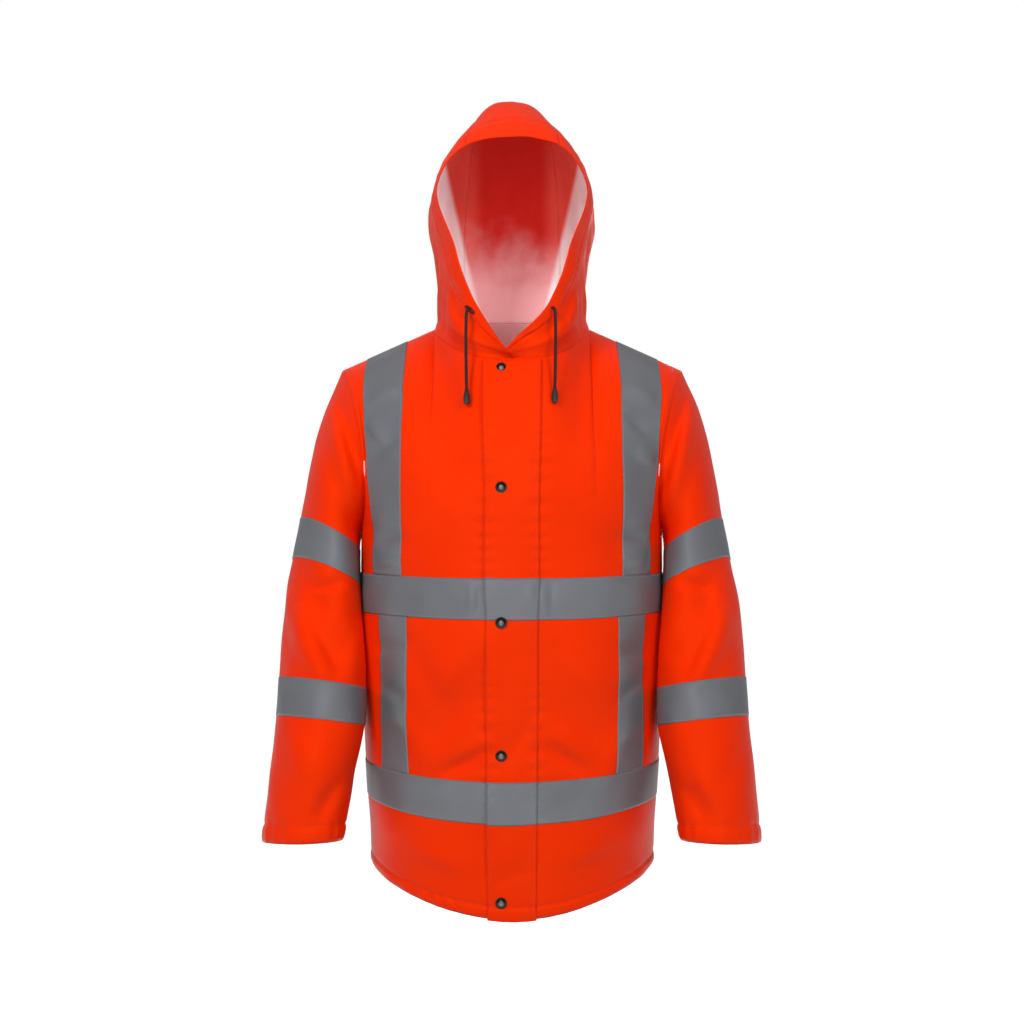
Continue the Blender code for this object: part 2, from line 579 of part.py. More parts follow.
def make_buttonholes(thread):
    """Worked buttonholes in the hood's casing, where the drawcord comes out."""
    length, height = BUTTONHOLE_SIZE
    for name, side in (("right", -1), ("left", 1)):
        tree = finished_tree(bpy.data.objects[f"hood_{name}"])
        back, place = BUTTONHOLE_PLACE
        centre = Vector(hood(back, side * (1 - place)))
        spot, out, _, _ = tree.find_nearest(centre + Vector((0, -0.01, 0)))
        tilt = math.radians(BUTTONHOLE_TILT)
        run = Vector((side * math.cos(tilt), 0, math.sin(tilt)))
        run = (run - out * run.dot(out)).normalized()
        rise = run.cross(out) * side
        corners = [[spot + run * length * j / 2 + rise * height * i / 2 for j in (-1, 0, 1)]
                   for i in (-1, 1)]
        heights = []
        for k in range(17 * 7):
            along, up = (k % 17) / 8 - 1, (k // 17) / 3 - 1
            probe = spot + run * length * along / 2 + rise * height * up / 2
            hit = tree.ray_cast(probe + out * 0.005, -out)[0]
            heights.append((hit - probe).dot(out))
        lift = max(heights) + GAP + BUTTONHOLE_WALL / 2
        lifted = [[tuple(point + out * lift) for point in line] for line in corners]
        wall(f"buttonhole_{name}", np.array(lifted), BUTTONHOLE_WALL, thread, flip=side > 0)


def make_cords(cord, tip):
    """Free ends of the hood's drawcord, each with its bell-shaped end."""
    stations = np.linspace(0, 1, len(CORD_ROUTE))
    route = through(stations, CORD_ROUTE, np.linspace(0, 1, CORD_POINTS))
    for name, side in (("right", -1), ("left", 1)):
        points = (route + np.array(CORD_SHIFTS[name])) * np.array([side, 1, 1])
        curve = bpy.data.curves.new(f"drawcord_{name}", "CURVE")
        curve.dimensions = "3D"
        curve.bevel_depth = CORD_RADIUS
        curve.bevel_resolution = 2
        curve.use_fill_caps = True
        spline = curve.splines.new("POLY")
        spline.points.add(len(points) - 1)
        for spot, point in zip(spline.points, points):
            spot.co = (*point, 1)
        curve.materials.append(cord)
        made = bpy.data.objects.new(f"drawcord_{name}", curve)
        bpy.data.collections[OBJECT_NAME].objects.link(made)
        profile = ((0.0, 0.0), (0.0026, 0.0), (0.0030, -0.004), (CORD_END_RADIUS, -0.014),
                   (CORD_END_RADIUS * 0.9, -CORD_END_LENGTH), (0.0, -CORD_END_LENGTH))
        bell = turned(f"cord_end_{name}", profile, 12, tip)
        bell.location = Vector(points[-1]) + Vector((0, 0, -GAP))


def main():
    for old in list(bpy.data.objects):
        bpy.data.objects.remove(old, do_unlink=True)
    collection = bpy.data.collections.new(OBJECT_NAME)
    bpy.context.scene.collection.children.link(collection)
    cloth = material("fluorescent_cloth", (0.95, 0.05, 0.003), 0.45)
    tape = material("reflective_tape", (0.24, 0.25, 0.27), 0.35)
    metal = material("gunmetal", (0.03, 0.026, 0.025), 0.3, 1.0)
    cord = material("drawcord", (0.02, 0.008, 0.006), 0.8)
    tip = material("cord_end", (0.015, 0.012, 0.012), 0.4)
    carriers = make_body(cloth, tape)
    make_sleeve("right", -1, cloth, tape)
    make_sleeve("left", 1, cloth, tape)
    make_hood(cloth)
    make_buttonholes(cord)
    make_snaps(carriers, metal)
    make_cords(cord, tip)


main()
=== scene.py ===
"""Looks of the hi-vis work jacket: every cloth panel, tape, snap and cord, finely modelled.

Metres, +Z up, the front towards -Y. Left and right are the wearer's.
"""

import math

import bpy
import numpy as np
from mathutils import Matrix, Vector


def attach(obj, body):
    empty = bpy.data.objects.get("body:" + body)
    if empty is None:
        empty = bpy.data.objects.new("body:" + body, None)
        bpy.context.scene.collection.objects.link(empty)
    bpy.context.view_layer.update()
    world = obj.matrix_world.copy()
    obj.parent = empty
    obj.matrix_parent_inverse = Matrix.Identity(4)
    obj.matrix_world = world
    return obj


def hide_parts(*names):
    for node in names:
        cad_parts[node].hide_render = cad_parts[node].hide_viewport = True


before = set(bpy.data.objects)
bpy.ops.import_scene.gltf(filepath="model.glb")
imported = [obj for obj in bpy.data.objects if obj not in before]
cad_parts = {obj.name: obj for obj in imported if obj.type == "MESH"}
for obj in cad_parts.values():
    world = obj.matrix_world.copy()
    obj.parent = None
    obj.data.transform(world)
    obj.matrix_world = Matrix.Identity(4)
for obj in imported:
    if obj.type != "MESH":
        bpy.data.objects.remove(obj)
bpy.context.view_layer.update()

# ---------------------------------------------------------------- sizes

CLOTH = 0.0011            # coated cloth with its knitted back
TAPE = 0.0005             # reflective tape
TAPE_LIFT = 0.0010        # middle of the tape above the middle of the cloth
CELL = 0.0031             # spacing of the cloth's grid lines
STITCH_LENGTH = 0.0030
STITCH_PITCH = 0.0036
STITCH_RADIUS = 0.00032
HEM_DEPTH = 0.015         # turned hem, from the edge to its stitching

# Body of the jacket, as the solids have it
CHEST = -0.255
ARMHOLE_RISE = 0.200
SQUARENESS = 2.4
HEM_CURVE = 1.8
NECK_ACROSS = 28.0
FLAP_ACROSS = 7.0
TAPE_ACROSS = (40.9, 60.5)
LOW_TAPE_SHIFT = 0.93
SHOULDER_DROP = 0.447
HEM_LEVEL = -0.727
HEM_TAPE = (-0.613, -0.562)
WAIST_TAPE = (-0.367, -0.317)
YOKE_TOP = CHEST + ARMHOLE_RISE

# Level, half width, front depth, back depth, rise at the side
BODY_SECTIONS = (
    (-0.727, 0.180, 0.158, 0.150, 0.048),
    (-0.670, 0.181, 0.157, 0.149, 0.033),
    (-0.600, 0.185, 0.156, 0.147, 0.016),
    (-0.512, 0.190, 0.155, 0.145, 0.010),
    (-0.400, 0.193, 0.154, 0.142, 0.005),
    (-0.317, 0.193, 0.153, 0.141, 0.003),
    (-0.255, 0.192, 0.152, 0.140, 0.000),
)

# Place across, direction off the chest, direction into the neck or shoulder seam
YOKE = (
    (0.0, (0.00, 0.00, 0.20), (0.00, 0.08, 0.19)),
    (21.0, (0.00, 0.00, 0.21), (0.00, 0.13, 0.14)),
    (28.0, (0.00, 0.00, 0.24), (0.00, 0.21, 0.07)),
    (40.9, (0.00, 0.00, 0.26), (0.00, 0.26, 0.03)),
    (60.5, (0.04, 0.00, 0.24), (-0.01, 0.26, 0.03)),
    (75.0, (-0.045, -0.18, 0.17), (0.02, 0.26, 0.03)),
    (90.0, (-0.08, -0.36, 0.10), (0.05, 0.26, 0.04)),
)
SHOULDER_SEAM = ((28.0, 0.096), (40.9, 0.134), (60.5, 0.186), (90.0, 0.2187))

# Place along, inner point, outer point, half depth, turn inwards, lean
SLEEVE_RINGS = (
    (0.00, (0.1920, 0.000, -0.255), (0.2187, 0.000, -0.055), 0.0775, 0.0, 0.00),
    (0.12, (0.1945, 0.000, -0.262), (0.2420, 0.000, -0.109), 0.0800, 2.0, 0.02),
    (0.22, (0.1955, 0.000, -0.270), (0.2560, -0.003, -0.159), 0.0800, 5.0, 0.06),
    (0.35, (0.1960, -0.008, -0.290), (0.2715, -0.010, -0.246), 0.0770, 10.0, 0.12),
    (0.45, (0.1940, -0.017, -0.336), (0.2800, -0.020, -0.2965), 0.0730, 13.0, 0.13),
    (0.60, (0.1875, -0.042, -0.400), (0.2885, -0.045, -0.375), 0.0670, 14.0, 0.14),
    (0.72, (0.1845, -0.062, -0.459), (0.2925, -0.065, -0.444), 0.0630, 12.0, 0.14),
    (0.80, (0.1845, -0.073, -0.504), (0.2950, -0.076, -0.491), 0.0600, 10.0, 0.14),
    (0.90, (0.1955, -0.087, -0.567), (0.2995, -0.089, -0.560), 0.0560, 8.0, 0.12),
    (1.00, (0.2070, -0.100, -0.640), (0.3055, -0.100, -0.643), 0.0515, 6.0, 0.08),
)
SLEEVE_TAPES = ((0.35, 0.45), (0.72, 0.80))
SLEEVE_CLEARANCE = 0.0036
SLEEVE_LENGTH = 0.60
SLEEVE_GIRTH = 0.0011     # metres round for each degree

# Place back, then points at the chin, jaw, cheek, temple, brow and crown
HOOD_PLACES = (0.0, 0.22, 0.45, 0.70, 0.87, 1.0)
HOOD_ARCHES = (
    (0.00, (0.000, -0.124, -0.036), (0.044, -0.119, 0.018), (0.070, -0.112, 0.088),
     (0.0925, -0.108, 0.165), (0.058, -0.121, 0.209), (0.000, -0.128, 0.223)),
    (0.12, (0.000, -0.124, -0.038), (0.056, -0.113, 0.008), (0.085, -0.093, 0.084),
     (0.0985, -0.078, 0.172), (0.055, -0.096, 0.237), (0.000, -0.103, 0.250)),
    (0.30, (0.000, -0.123, -0.041), (0.066, -0.107, -0.002), (0.0965, -0.058, 0.079),
     (0.1005, -0.020, 0.168), (0.047, -0.030, 0.272), (0.000, -0.035, 0.289)),
    (0.50, (0.000, -0.121, -0.043), (0.067, -0.106, -0.014), (0.0975, -0.034, 0.055),
     (0.1010, 0.038, 0.143), (0.051, 0.052, 0.258), (0.000, 0.055, 0.277)),
    (0.70, (0.000, -0.119, -0.0445), (0.062, -0.105, -0.024), (0.0945, -0.036, 0.026),
     (0.0970, 0.062, 0.085), (0.062, 0.105, 0.178), (0.000, 0.120, 0.197)),
    (0.87, (0.000, -0.117, -0.046), (0.054, -0.106, -0.035), (0.0870, -0.052, -0.003),
     (0.0965, 0.036, 0.034), (0.065, 0.098, 0.079), (0.000, 0.124, 0.090)),
    (1.00, (0.000, -0.115, -0.048), (0.045, -0.108, -0.045), (0.080, -0.068, -0.027),
     (0.0960, 0.000, 0.000), (0.060, 0.066, 0.0135), (0.000, 0.085, 0.016)),
)
CHIN_SHIFT = -0.007
BROW_PLACE = 0.87
PEAK_FALL = 0.009         # the crown falls away this much beside its middle
CROWN_ROUND = 0.06        # share of the way round over which the crown is rounded
CROWN_SLOPE = 0.12        # fall of the crown, in metres for the whole way round
JAW_FALL = 0.007          # the cheeks lie this much closer than the plain form
CASING = 0.115            # how far back the drawcord's casing reaches

# Folds and creases: face or side, start, end, height out of the cloth, half width.
# On the body the places are across and level, on a sleeve along and round.
BODY_FOLDS = (
    (-1, (-24, -0.560), (-52, -0.470), 0.0035, 0.020),
    (-1, (-22, -0.480), (-40, -0.400), -0.0030, 0.018),
    (-1, (26, -0.610), (48, -0.500), 0.0035, 0.020),
    (-1, (20, -0.250), (44, -0.300), -0.0030, 0.020),
    (-1, (-18, -0.230), (-44, -0.150), 0.0030, 0.022),
    (1, (-38, -0.080), (-22, -0.300), 0.0040, 0.020),
    (1, (36, -0.090), (24, -0.320), 0.0040, 0.020),
    (1, (-8, -0.420), (-26, -0.560), 0.0030, 0.020),
    (1, (30, -0.400), (16, -0.530), -0.0030, 0.020),
)
SLEEVE_FOLDS = (
    (-1, (0.48, 40), (0.62, 110), -0.0045, 0.020),
    (-1, (0.56, 20), (0.70, 70), 0.0045, 0.018),
    (1, (0.48, 50), (0.64, 120), -0.0045, 0.020),
    (1, (0.58, 25), (0.69, 80), 0.0040, 0.018),
    (-1, (0.24, -40), (0.33, -100), 0.0040, 0.018),
    (1, (0.22, -60), (0.34, -120), -0.0040, 0.018),
    (-1, (0.84, 60), (0.93, 130), 0.0030, 0.016),
    (1, (0.86, 30), (0.94, 100), -0.0030, 0.016),
)

# Finer creases. Each row: start, end, height out of the cloth, half width, all in metres.
# Starts and ends are distance to the wearer's left and level, seen square on.
FRONT_CREASES = (
    ((0.016, -0.118), (-0.010, -0.159), -0.0022, 0.006),
    ((-0.125, -0.177), (-0.040, -0.183), -0.0010, 0.007),
    ((0.056, -0.096), (0.122, -0.277), 0.0018, 0.020),
    ((-0.065, -0.072), (-0.125, -0.253), 0.0018, 0.020),
    ((-0.040, -0.391), (-0.119, -0.482), 0.0036, 0.017),
    ((-0.032, -0.451), (-0.100, -0.518), -0.0022, 0.013),
    ((-0.030, -0.512), (-0.088, -0.541), 0.0030, 0.009),
    ((-0.032, -0.530), (-0.092, -0.556), -0.0034, 0.008),
    ((0.056, -0.397), (0.122, -0.476), 0.0036, 0.017),
    ((0.045, -0.470), (0.105, -0.520), -0.0020, 0.013),
    ((0.045, -0.503), (0.098, -0.541), 0.0028, 0.009),
    ((0.038, -0.518), (0.090, -0.555), -0.0034, 0.008),
    ((0.028, -0.478), (-0.010, -0.548), -0.0015, 0.008),
    ((0.028, -0.666), (-0.026, -0.682), -0.0012, 0.008),
    ((-0.119, -0.644), (-0.058, -0.667), 0.0020, 0.011),
    ((0.062, -0.659), (0.125, -0.635), 0.0020, 0.011),
    ((-0.165, -0.379), (-0.160, -0.536), -0.0030, 0.010),
    ((0.166, -0.385), (0.159, -0.530), -0.0030, 0.010),
    ((-0.170, -0.410), (-0.131, -0.397), -0.0024, 0.006),
    ((-0.166, -0.452), (-0.131, -0.464), -0.0024, 0.006),
    ((-0.165, -0.500), (-0.130, -0.490), 0.0022, 0.007),
    ((0.131, -0.404), (0.168, -0.416), -0.0024, 0.006),
    ((0.130, -0.462), (0.166, -0.446), -0.0024, 0.006),
    ((0.129, -0.506), (0.160, -0.516), 0.0022, 0.007),
    ((-0.050, -0.322), (-0.047, -0.360), 0.0014, 0.004),
    ((-0.038, -0.325), (-0.041, -0.364), -0.0012, 0.004),
    ((0.026, -0.320), (0.022, -0.350), 0.0014, 0.004),
    ((0.036, -0.324), (0.040, -0.362), 0.0016, 0.005),
    ((0.048, -0.322), (0.046, -0.356), -0.0012, 0.004),
    ((-0.178, -0.097), (-0.136, -0.083), 0.0036, 0.007),
    ((-0.178, -0.125), (-0.156, -0.152), 0.0030, 0.006),
    ((-0.175, -0.169), (-0.139, -0.149), -0.0026, 0.008),
    ((-0.168, -0.273), (-0.134, -0.268), -0.0038, 0.007),
    ((-0.167, -0.298), (-0.134, -0.295), 0.0030, 0.008),
    ((0.136, -0.082), (0.177, -0.100), 0.0038, 0.007),
    ((0.140, -0.118), (0.170, -0.140), -0.0026, 0.006),
    ((0.152, -0.160), (0.175, -0.176), 0.0028, 0.007),
    ((0.134, -0.266), (0.168, -0.271), -0.0038, 0.007),
    ((0.134, -0.294), (0.166, -0.300), 0.0030, 0.008),
)
BACK_CREASES = (
    ((0.065, -0.119), (0.107, -0.265), -0.0034, 0.016),
    ((0.089, -0.100), (0.129, -0.247), 0.0030, 0.015),
    ((-0.057, -0.094), (-0.118, -0.247), -0.0034, 0.016),
    ((-0.085, -0.100), (-0.140, -0.235), 0.0030, 0.015),
    ((0.040, -0.060), (0.049, -0.296), 0.0018, 0.018),
    ((-0.027, -0.060), (-0.037, -0.296), 0.0018, 0.018),
    ((0.095, -0.405), (0.022, -0.515), 0.0016, 0.026),
    ((-0.100, -0.405), (-0.027, -0.521), 0.0016, 0.026),
    ((0.060, -0.640), (-0.045, -0.668), 0.0014, 0.018),
    ((0.126, -0.076), (0.170, -0.167), 0.0040, 0.009),
    ((0.150, -0.076), (0.178, -0.125), -0.0026, 0.007),
    ((-0.135, -0.076), (-0.180, -0.137), 0.0040, 0.009),
    ((-0.138, -0.165), (-0.180, -0.178), 0.0030, 0.008),
    ((0.112, -0.400), (0.158, -0.392), -0.0024, 0.006),
    ((0.114, -0.452), (0.160, -0.458), 0.0024, 0.008),
    ((0.116, -0.512), (0.150, -0.518), -0.0024, 0.007),
    ((-0.126, -0.396), (-0.168, -0.404), -0.0024, 0.006),
    ((-0.126, -0.446), (-0.168, -0.436), -0.0026, 0.007),
    ((-0.128, -0.494), (-0.165, -0.500), 0.0024, 0.008),
)
# Face first: -1 seen from the front, 1 from the back
SLEEVE_CREASES = (
    (-1, (-0.221, -0.091), (-0.188, -0.200), -0.0055, 0.008),
    (-1, (-0.232, -0.094), (-0.190, -0.250), 0.0050, 0.011),
    (-1, (-0.247, -0.332), (-0.210, -0.328), -0.0048, 0.005),
    (-1, (-0.250, -0.338), (-0.242, -0.380), -0.0036, 0.007),
    (-1, (-0.242, -0.380), (-0.212, -0.430), -0.0042, 0.007),
    (-1, (-0.262, -0.350), (-0.254, -0.398), 0.0034, 0.010),
    (-1, (-0.254, -0.398), (-0.224, -0.446), 0.0034, 0.010),
    (-1, (-0.188, -0.350), (-0.222, -0.452), -0.0026, 0.012),
    (-1, (-0.209, -0.560), (-0.236, -0.614), -0.0040, 0.009),
    (-1, (-0.226, -0.556), (-0.252, -0.604), 0.0024, 0.011),
    (-1, (-0.268, -0.520), (-0.244, -0.570), 0.0020, 0.014),
    (-1, (0.219, -0.089), (0.188, -0.198), -0.0055, 0.008),
    (-1, (0.231, -0.094), (0.192, -0.250), 0.0050, 0.011),
    (-1, (0.196, -0.184), (0.182, -0.222), -0.0036, 0.006),
    (-1, (0.249, -0.333), (0.208, -0.325), -0.0048, 0.005),
    (-1, (0.248, -0.338), (0.238, -0.384), -0.0036, 0.007),
    (-1, (0.238, -0.384), (0.212, -0.432), -0.0042, 0.007),
    (-1, (0.262, -0.352), (0.250, -0.402), 0.0034, 0.010),
    (-1, (0.250, -0.402), (0.224, -0.450), 0.0034, 0.010),
    (-1, (0.206, -0.566), (0.236, -0.616), -0.0040, 0.009),
    (-1, (0.224, -0.552), (0.250, -0.600), 0.0024, 0.011),
    (1, (0.230, -0.157), (0.191, -0.240), -0.0055, 0.008),
    (1, (0.232, -0.099), (0.224, -0.151), -0.0030, 0.007),
    (1, (0.243, -0.144), (0.203, -0.262), 0.0048, 0.011),
    (1, (0.240, -0.334), (0.197, -0.347), -0.0050, 0.006),
    (1, (0.244, -0.352), (0.199, -0.386), 0.0040, 0.009),
    (1, (0.197, -0.394), (0.232, -0.440), -0.0045, 0.007),
    (1, (0.196, -0.424), (0.224, -0.458), 0.0030, 0.009),
    (1, (0.262, -0.560), (0.228, -0.606), -0.0026, 0.011),
    (1, (-0.232, -0.118), (-0.202, -0.192), -0.0050, 0.008),
    (1, (-0.222, -0.170), (-0.196, -0.240), -0.0042, 0.007),
    (1, (-0.246, -0.140), (-0.208, -0.262), 0.0046, 0.011),
    (1, (-0.203, -0.345), (-0.248, -0.331), -0.0050, 0.006),
    (1, (-0.200, -0.380), (-0.246, -0.352), 0.0036, 0.009),
    (1, (-0.203, -0.396), (-0.241, -0.441), -0.0045, 0.007),
    (1, (-0.258, -0.566), (-0.226, -0.600), -0.0026, 0.011),
)
HOOD_CREASES = (
    (1, (0.029, 0.209), (0.016, 0.059), -0.0030, 0.006),
    (1, (0.010, 0.197), (-0.040, 0.038), -0.0034, 0.006),
    (1, (-0.004, 0.197), (-0.054, 0.044), 0.0028, 0.007),
    (1, (0.072, 0.147), (0.035, 0.084), -0.0030, 0.006),
    (1, (0.088, 0.077), (0.041, 0.062), -0.0034, 0.006),
    (1, (0.086, 0.060), (0.050, 0.044), 0.0026, 0.007),
    (1, (-0.042, 0.045), (-0.090, 0.066), -0.0030, 0.006),
    (1, (-0.065, 0.150), (-0.046, 0.066), 0.0024, 0.007),
    (1, (-0.050, 0.226), (-0.066, 0.190), -0.0018, 0.006),
    (-1, (-0.090, 0.090), (-0.062, 0.033), 0.0030, 0.008),
    (-1, (-0.078, 0.048), (-0.070, 0.006), -0.0040, 0.006),
    (-1, (-0.074, 0.010), (-0.045, -0.016), -0.0024, 0.005),
    (-1, (0.090, 0.092), (0.064, 0.035), 0.0030, 0.008),
    (-1, (0.076, 0.046), (0.068, 0.004), -0.0040, 0.006),
    (-1, (0.070, 0.006), (0.040, -0.020), -0.0024, 0.005),
    (-1, (-0.014, -0.016), (0.024, -0.026), -0.0016, 0.005),
)
# On both sides of the hood: starts and ends are distance back and level
HOOD_SIDE_CREASES = (
    ((-0.070, 0.130), (0.010, 0.045), -0.0030, 0.009),
    ((-0.040, 0.190), (0.045, 0.095), 0.0026, 0.012),
    ((-0.060, 0.060), (-0.010, 0.010), 0.0030, 0.009),
    ((-0.088, 0.040), (-0.050, -0.010), -0.0034, 0.007),
    ((0.030, 0.200), (0.075, 0.120), -0.0026, 0.010),
)
CREASE_DEPTH = 1.55       # every crease's height is multiplied by this
SIDE_CALM = 0.25          # share of the slack left where the body lies under a sleeve
SOFT_SIDE = 2.0           # a crease is this much wider on its upper side than below

SNAP_X = -0.013
PAINTED_HIGHLIGHT_RADIUS = 0.0032       # radius of the dome's middle that gets a lighter metal, a painted highlight
SNAP_LEVELS = (-0.061, -0.207, -0.370, -0.530, -0.706)
CORD_RADIUS = 0.0020
CORD_ROUTE = (
    (0.0507, -0.1170, 0.0119),
    (0.0520, -0.1203, 0.0117),
    (0.0532, -0.1227, 0.0098),
    (0.0541, -0.1240, 0.0055),
    (0.0545, -0.1243, -0.0040),
    (0.0547, -0.1243, -0.0200),
    (0.0546, -0.1248, -0.0400),
    (0.0543, -0.1268, -0.0610),
    (0.0540, -0.1288, -0.0750),
    (0.0536, -0.1308, -0.0868),
)
CORD_SHIFTS = {"right": (0.0016, 0.0002, -0.0009), "left": (-0.0015, -0.0002, 0.0009)}

# ---------------------------------------------------------------- finishes


def srgb(code):
    """Linear colour of an sRGB hex value."""
    parts = [int(code[k:k + 2], 16) / 255 for k in (1, 3, 5)]
    return tuple(c / 12.92 if c <= 0.04045 else ((c + 0.055) / 1.055) ** 2.4 for c in parts) + (1.0,)


def node(tree, kind, settings=None, **inputs):
    """Node of a kind with its settings, and its inputs set or linked by name."""
    made = tree.nodes.new(kind)
    for name, value in (settings or {}).items():
        setattr(made, name, value)
    for name, value in inputs.items():
        socket = made.inputs[int(name[1:])] if name[0] == "_" else made.inputs[name.replace("_", " ")]
        if isinstance(value, bpy.types.NodeSocket):
            tree.links.new(value, socket)
        else:
            socket.default_value = value
    return made


def principled(name):
    """New material, its tree and its shader."""
    made = bpy.data.materials.new(name)
    made.use_nodes = True
    return made, made.node_tree, made.node_tree.nodes["Principled BSDF"]


def ramp_colours(tree, value, low, high):
    """Mix of two colours by a value."""
    mixed = node(tree, "ShaderNodeMix", {"data_type": "RGBA"}, _0=value)
    mixed.inputs[6].default_value = srgb(low)
    mixed.inputs[7].default_value = srgb(high)
    return mixed.outputs[2]


def cloth_weave(tree, spacing, axis_turn):
    """Height of a plain weave with threads this far apart, from the piece's own UV in metres."""
    place = node(tree, "ShaderNodeUVMap", {"uv_map": "cut"}).outputs[0]
    turned = node(tree, "ShaderNodeMapping", {}, Vector=place, Rotation=(0, 0, axis_turn)).outputs[0]
    axes = node(tree, "ShaderNodeSeparateXYZ", {}, _0=turned)
    waves = []
    for output in (axes.outputs[0], axes.outputs[1]):
        scaled = node(tree, "ShaderNodeMath", {"operation": "MULTIPLY"}, _0=output,
                      _1=math.pi / spacing).outputs[0]
        waves.append(node(tree, "ShaderNodeMath", {"operation": "SINE"}, _0=scaled).outputs[0])
    return node(tree, "ShaderNodeMath", {"operation": "MULTIPLY"}, _0=waves[0], _1=waves[1]).outputs[0]


def coated_polyester():
    """Fluorescent polyester with a smooth coating: even, deep, with a soft broad sheen and a faint painted
    orange glow.
    """
    made, tree, shader = principled("coated_fluorescent_polyester")
    place = node(tree, "ShaderNodeTexCoord").outputs["Object"]
    cloud = node(tree, "ShaderNodeTexNoise", {}, Vector=place, Scale=9.0, Detail=3.0).outputs[0]
    tree.links.new(ramp_colours(tree, cloud, "#d22200", "#df2b00"), shader.inputs["Base Color"])
    weave = cloth_weave(tree, 0.0011, 0.0)
    grain = node(tree, "ShaderNodeTexNoise", {}, Vector=place, Scale=300.0, Detail=2.0).outputs[0]
    height = node(tree, "ShaderNodeMath", {"operation": "MULTIPLY_ADD"}, _0=weave, _1=0.4,
                  _2=grain).outputs[0]
    bump = node(tree, "ShaderNodeBump", {}, Strength=0.22, Distance=0.0004, Height=height).outputs[0]
    tree.links.new(bump, shader.inputs["Normal"])
    rough = node(tree, "ShaderNodeMapRange", {}, Value=grain)
    rough.inputs["To Min"].default_value = 0.40
    rough.inputs["To Max"].default_value = 0.54
    tree.links.new(rough.outputs[0], shader.inputs["Roughness"])
    shader.inputs["Specular IOR Level"].default_value = 0.34
    shader.inputs["Specular Tint"].default_value = srgb("#ff9a50")
    # Painted glow: the cloth lights itself a little in orange, standing in for its fluorescence and lifting
    # its shade.
    shader.inputs["Emission Color"].default_value = srgb("#ff2a00")
    shader.inputs["Emission Strength"].default_value = 0.03
    return made


def knitted_reverse():
    """Pale knitted back of the coated cloth: matt, a little of the orange showing through."""
    made, tree, shader = principled("pale_knitted_reverse")
    place = node(tree, "ShaderNodeTexCoord").outputs["Object"]
    cloud = node(tree, "ShaderNodeTexNoise", {}, Vector=place, Scale=14.0, Detail=4.0).outputs[0]
    tree.links.new(ramp_colours(tree, cloud, "#eea4a6", "#fbbdbb"), shader.inputs["Base Color"])
    rib = cloth_weave(tree, 0.0016, 0.0)
    bump = node(tree, "ShaderNodeBump", {}, Strength=0.3, Distance=0.0004, Height=rib).outputs[0]
    tree.links.new(bump, shader.inputs["Normal"])
    shader.inputs["Roughness"].default_value = 0.85
    shader.inputs["Specular IOR Level"].default_value = 0.2
    return made


def hood_reverse_painted_light():
    """Back of the hood's cloth, with painted light and shade: red on top, painted for light coming through
    the cloth, the centre panel's red painted darker as shade, paler at jaw and cheeks with a near-white
    strip of painted light from the face opening, and a faint painted glow in these colours.
    """
    made, tree, shader = principled("hood_knit_painted_light")
    place = node(tree, "ShaderNodeTexCoord").outputs["Object"]
    axes = node(tree, "ShaderNodeSeparateXYZ", {}, _0=place)
    cloud = node(tree, "ShaderNodeTexNoise", {}, Vector=place, Scale=22.0, Detail=5.0).outputs[0]
    level = node(tree, "ShaderNodeMath", {"operation": "MULTIPLY_ADD"}, _0=cloud, _1=0.09,
                 _2=axes.outputs[2]).outputs[0]
    # Painted light: towards the crown the colour turns red, where light would come through the cloth.
    top = node(tree, "ShaderNodeMapRange", {"interpolation_type": "SMOOTHSTEP"}, Value=level)
    top.inputs["From Min"].default_value = 0.100
    top.inputs["From Max"].default_value = 0.205
    side = node(tree, "ShaderNodeMath", {"operation": "ABSOLUTE"}, _0=axes.outputs[0]).outputs[0]
    panel = node(tree, "ShaderNodeMapRange", {"interpolation_type": "SMOOTHSTEP"}, Value=side)
    panel.inputs["From Min"].default_value = 0.036
    panel.inputs["From Max"].default_value = 0.062
    # Painted light: a near-white strip on each cheek, where light from the face opening would fall.
    cheek = node(tree, "ShaderNodeMath", {"operation": "MULTIPLY_ADD"}, _0=axes.outputs[2],
                 _1=-0.238, _2=side).outputs[0]
    pale = node(tree, "ShaderNodeMapRange", {"interpolation_type": "SMOOTHSTEP"}, Value=cheek)
    pale.inputs["From Min"].default_value = 0.032
    pale.inputs["From Max"].default_value = 0.040
    # Painted shade: the centre panel's red is darker than the side panels'.
    crown = ramp_colours(tree, panel.outputs[0], "#d8261c", "#ef5a4c")
    painted_light_tones = (crown, srgb("#f4b6b8"), srgb("#fff3f3"))
    low = node(tree, "ShaderNodeMix", {"data_type": "RGBA"}, _0=top.outputs[0])
    low.inputs[6].default_value = painted_light_tones[1]
    tree.links.new(painted_light_tones[0], low.inputs[7])
    mixed = node(tree, "ShaderNodeMix", {"data_type": "RGBA"}, _0=pale.outputs[0])
    tree.links.new(low.outputs[2], mixed.inputs[6])
    mixed.inputs[7].default_value = painted_light_tones[2]
    tree.links.new(mixed.outputs[2], shader.inputs["Base Color"])
    # Painted glow: the hood's inside lights itself a little in the colours painted above.
    tree.links.new(mixed.outputs[2], shader.inputs["Emission Color"])
    shader.inputs["Emission Strength"].default_value = 0.055
    rib = cloth_weave(tree, 0.0016, 0.0)
    bump = node(tree, "ShaderNodeBump", {}, Strength=0.3, Distance=0.0004, Height=rib).outputs[0]
    tree.links.new(bump, shader.inputs["Normal"])
    shader.inputs["Roughness"].default_value = 0.8
    shader.inputs["Specular IOR Level"].default_value = 0.2
    return made


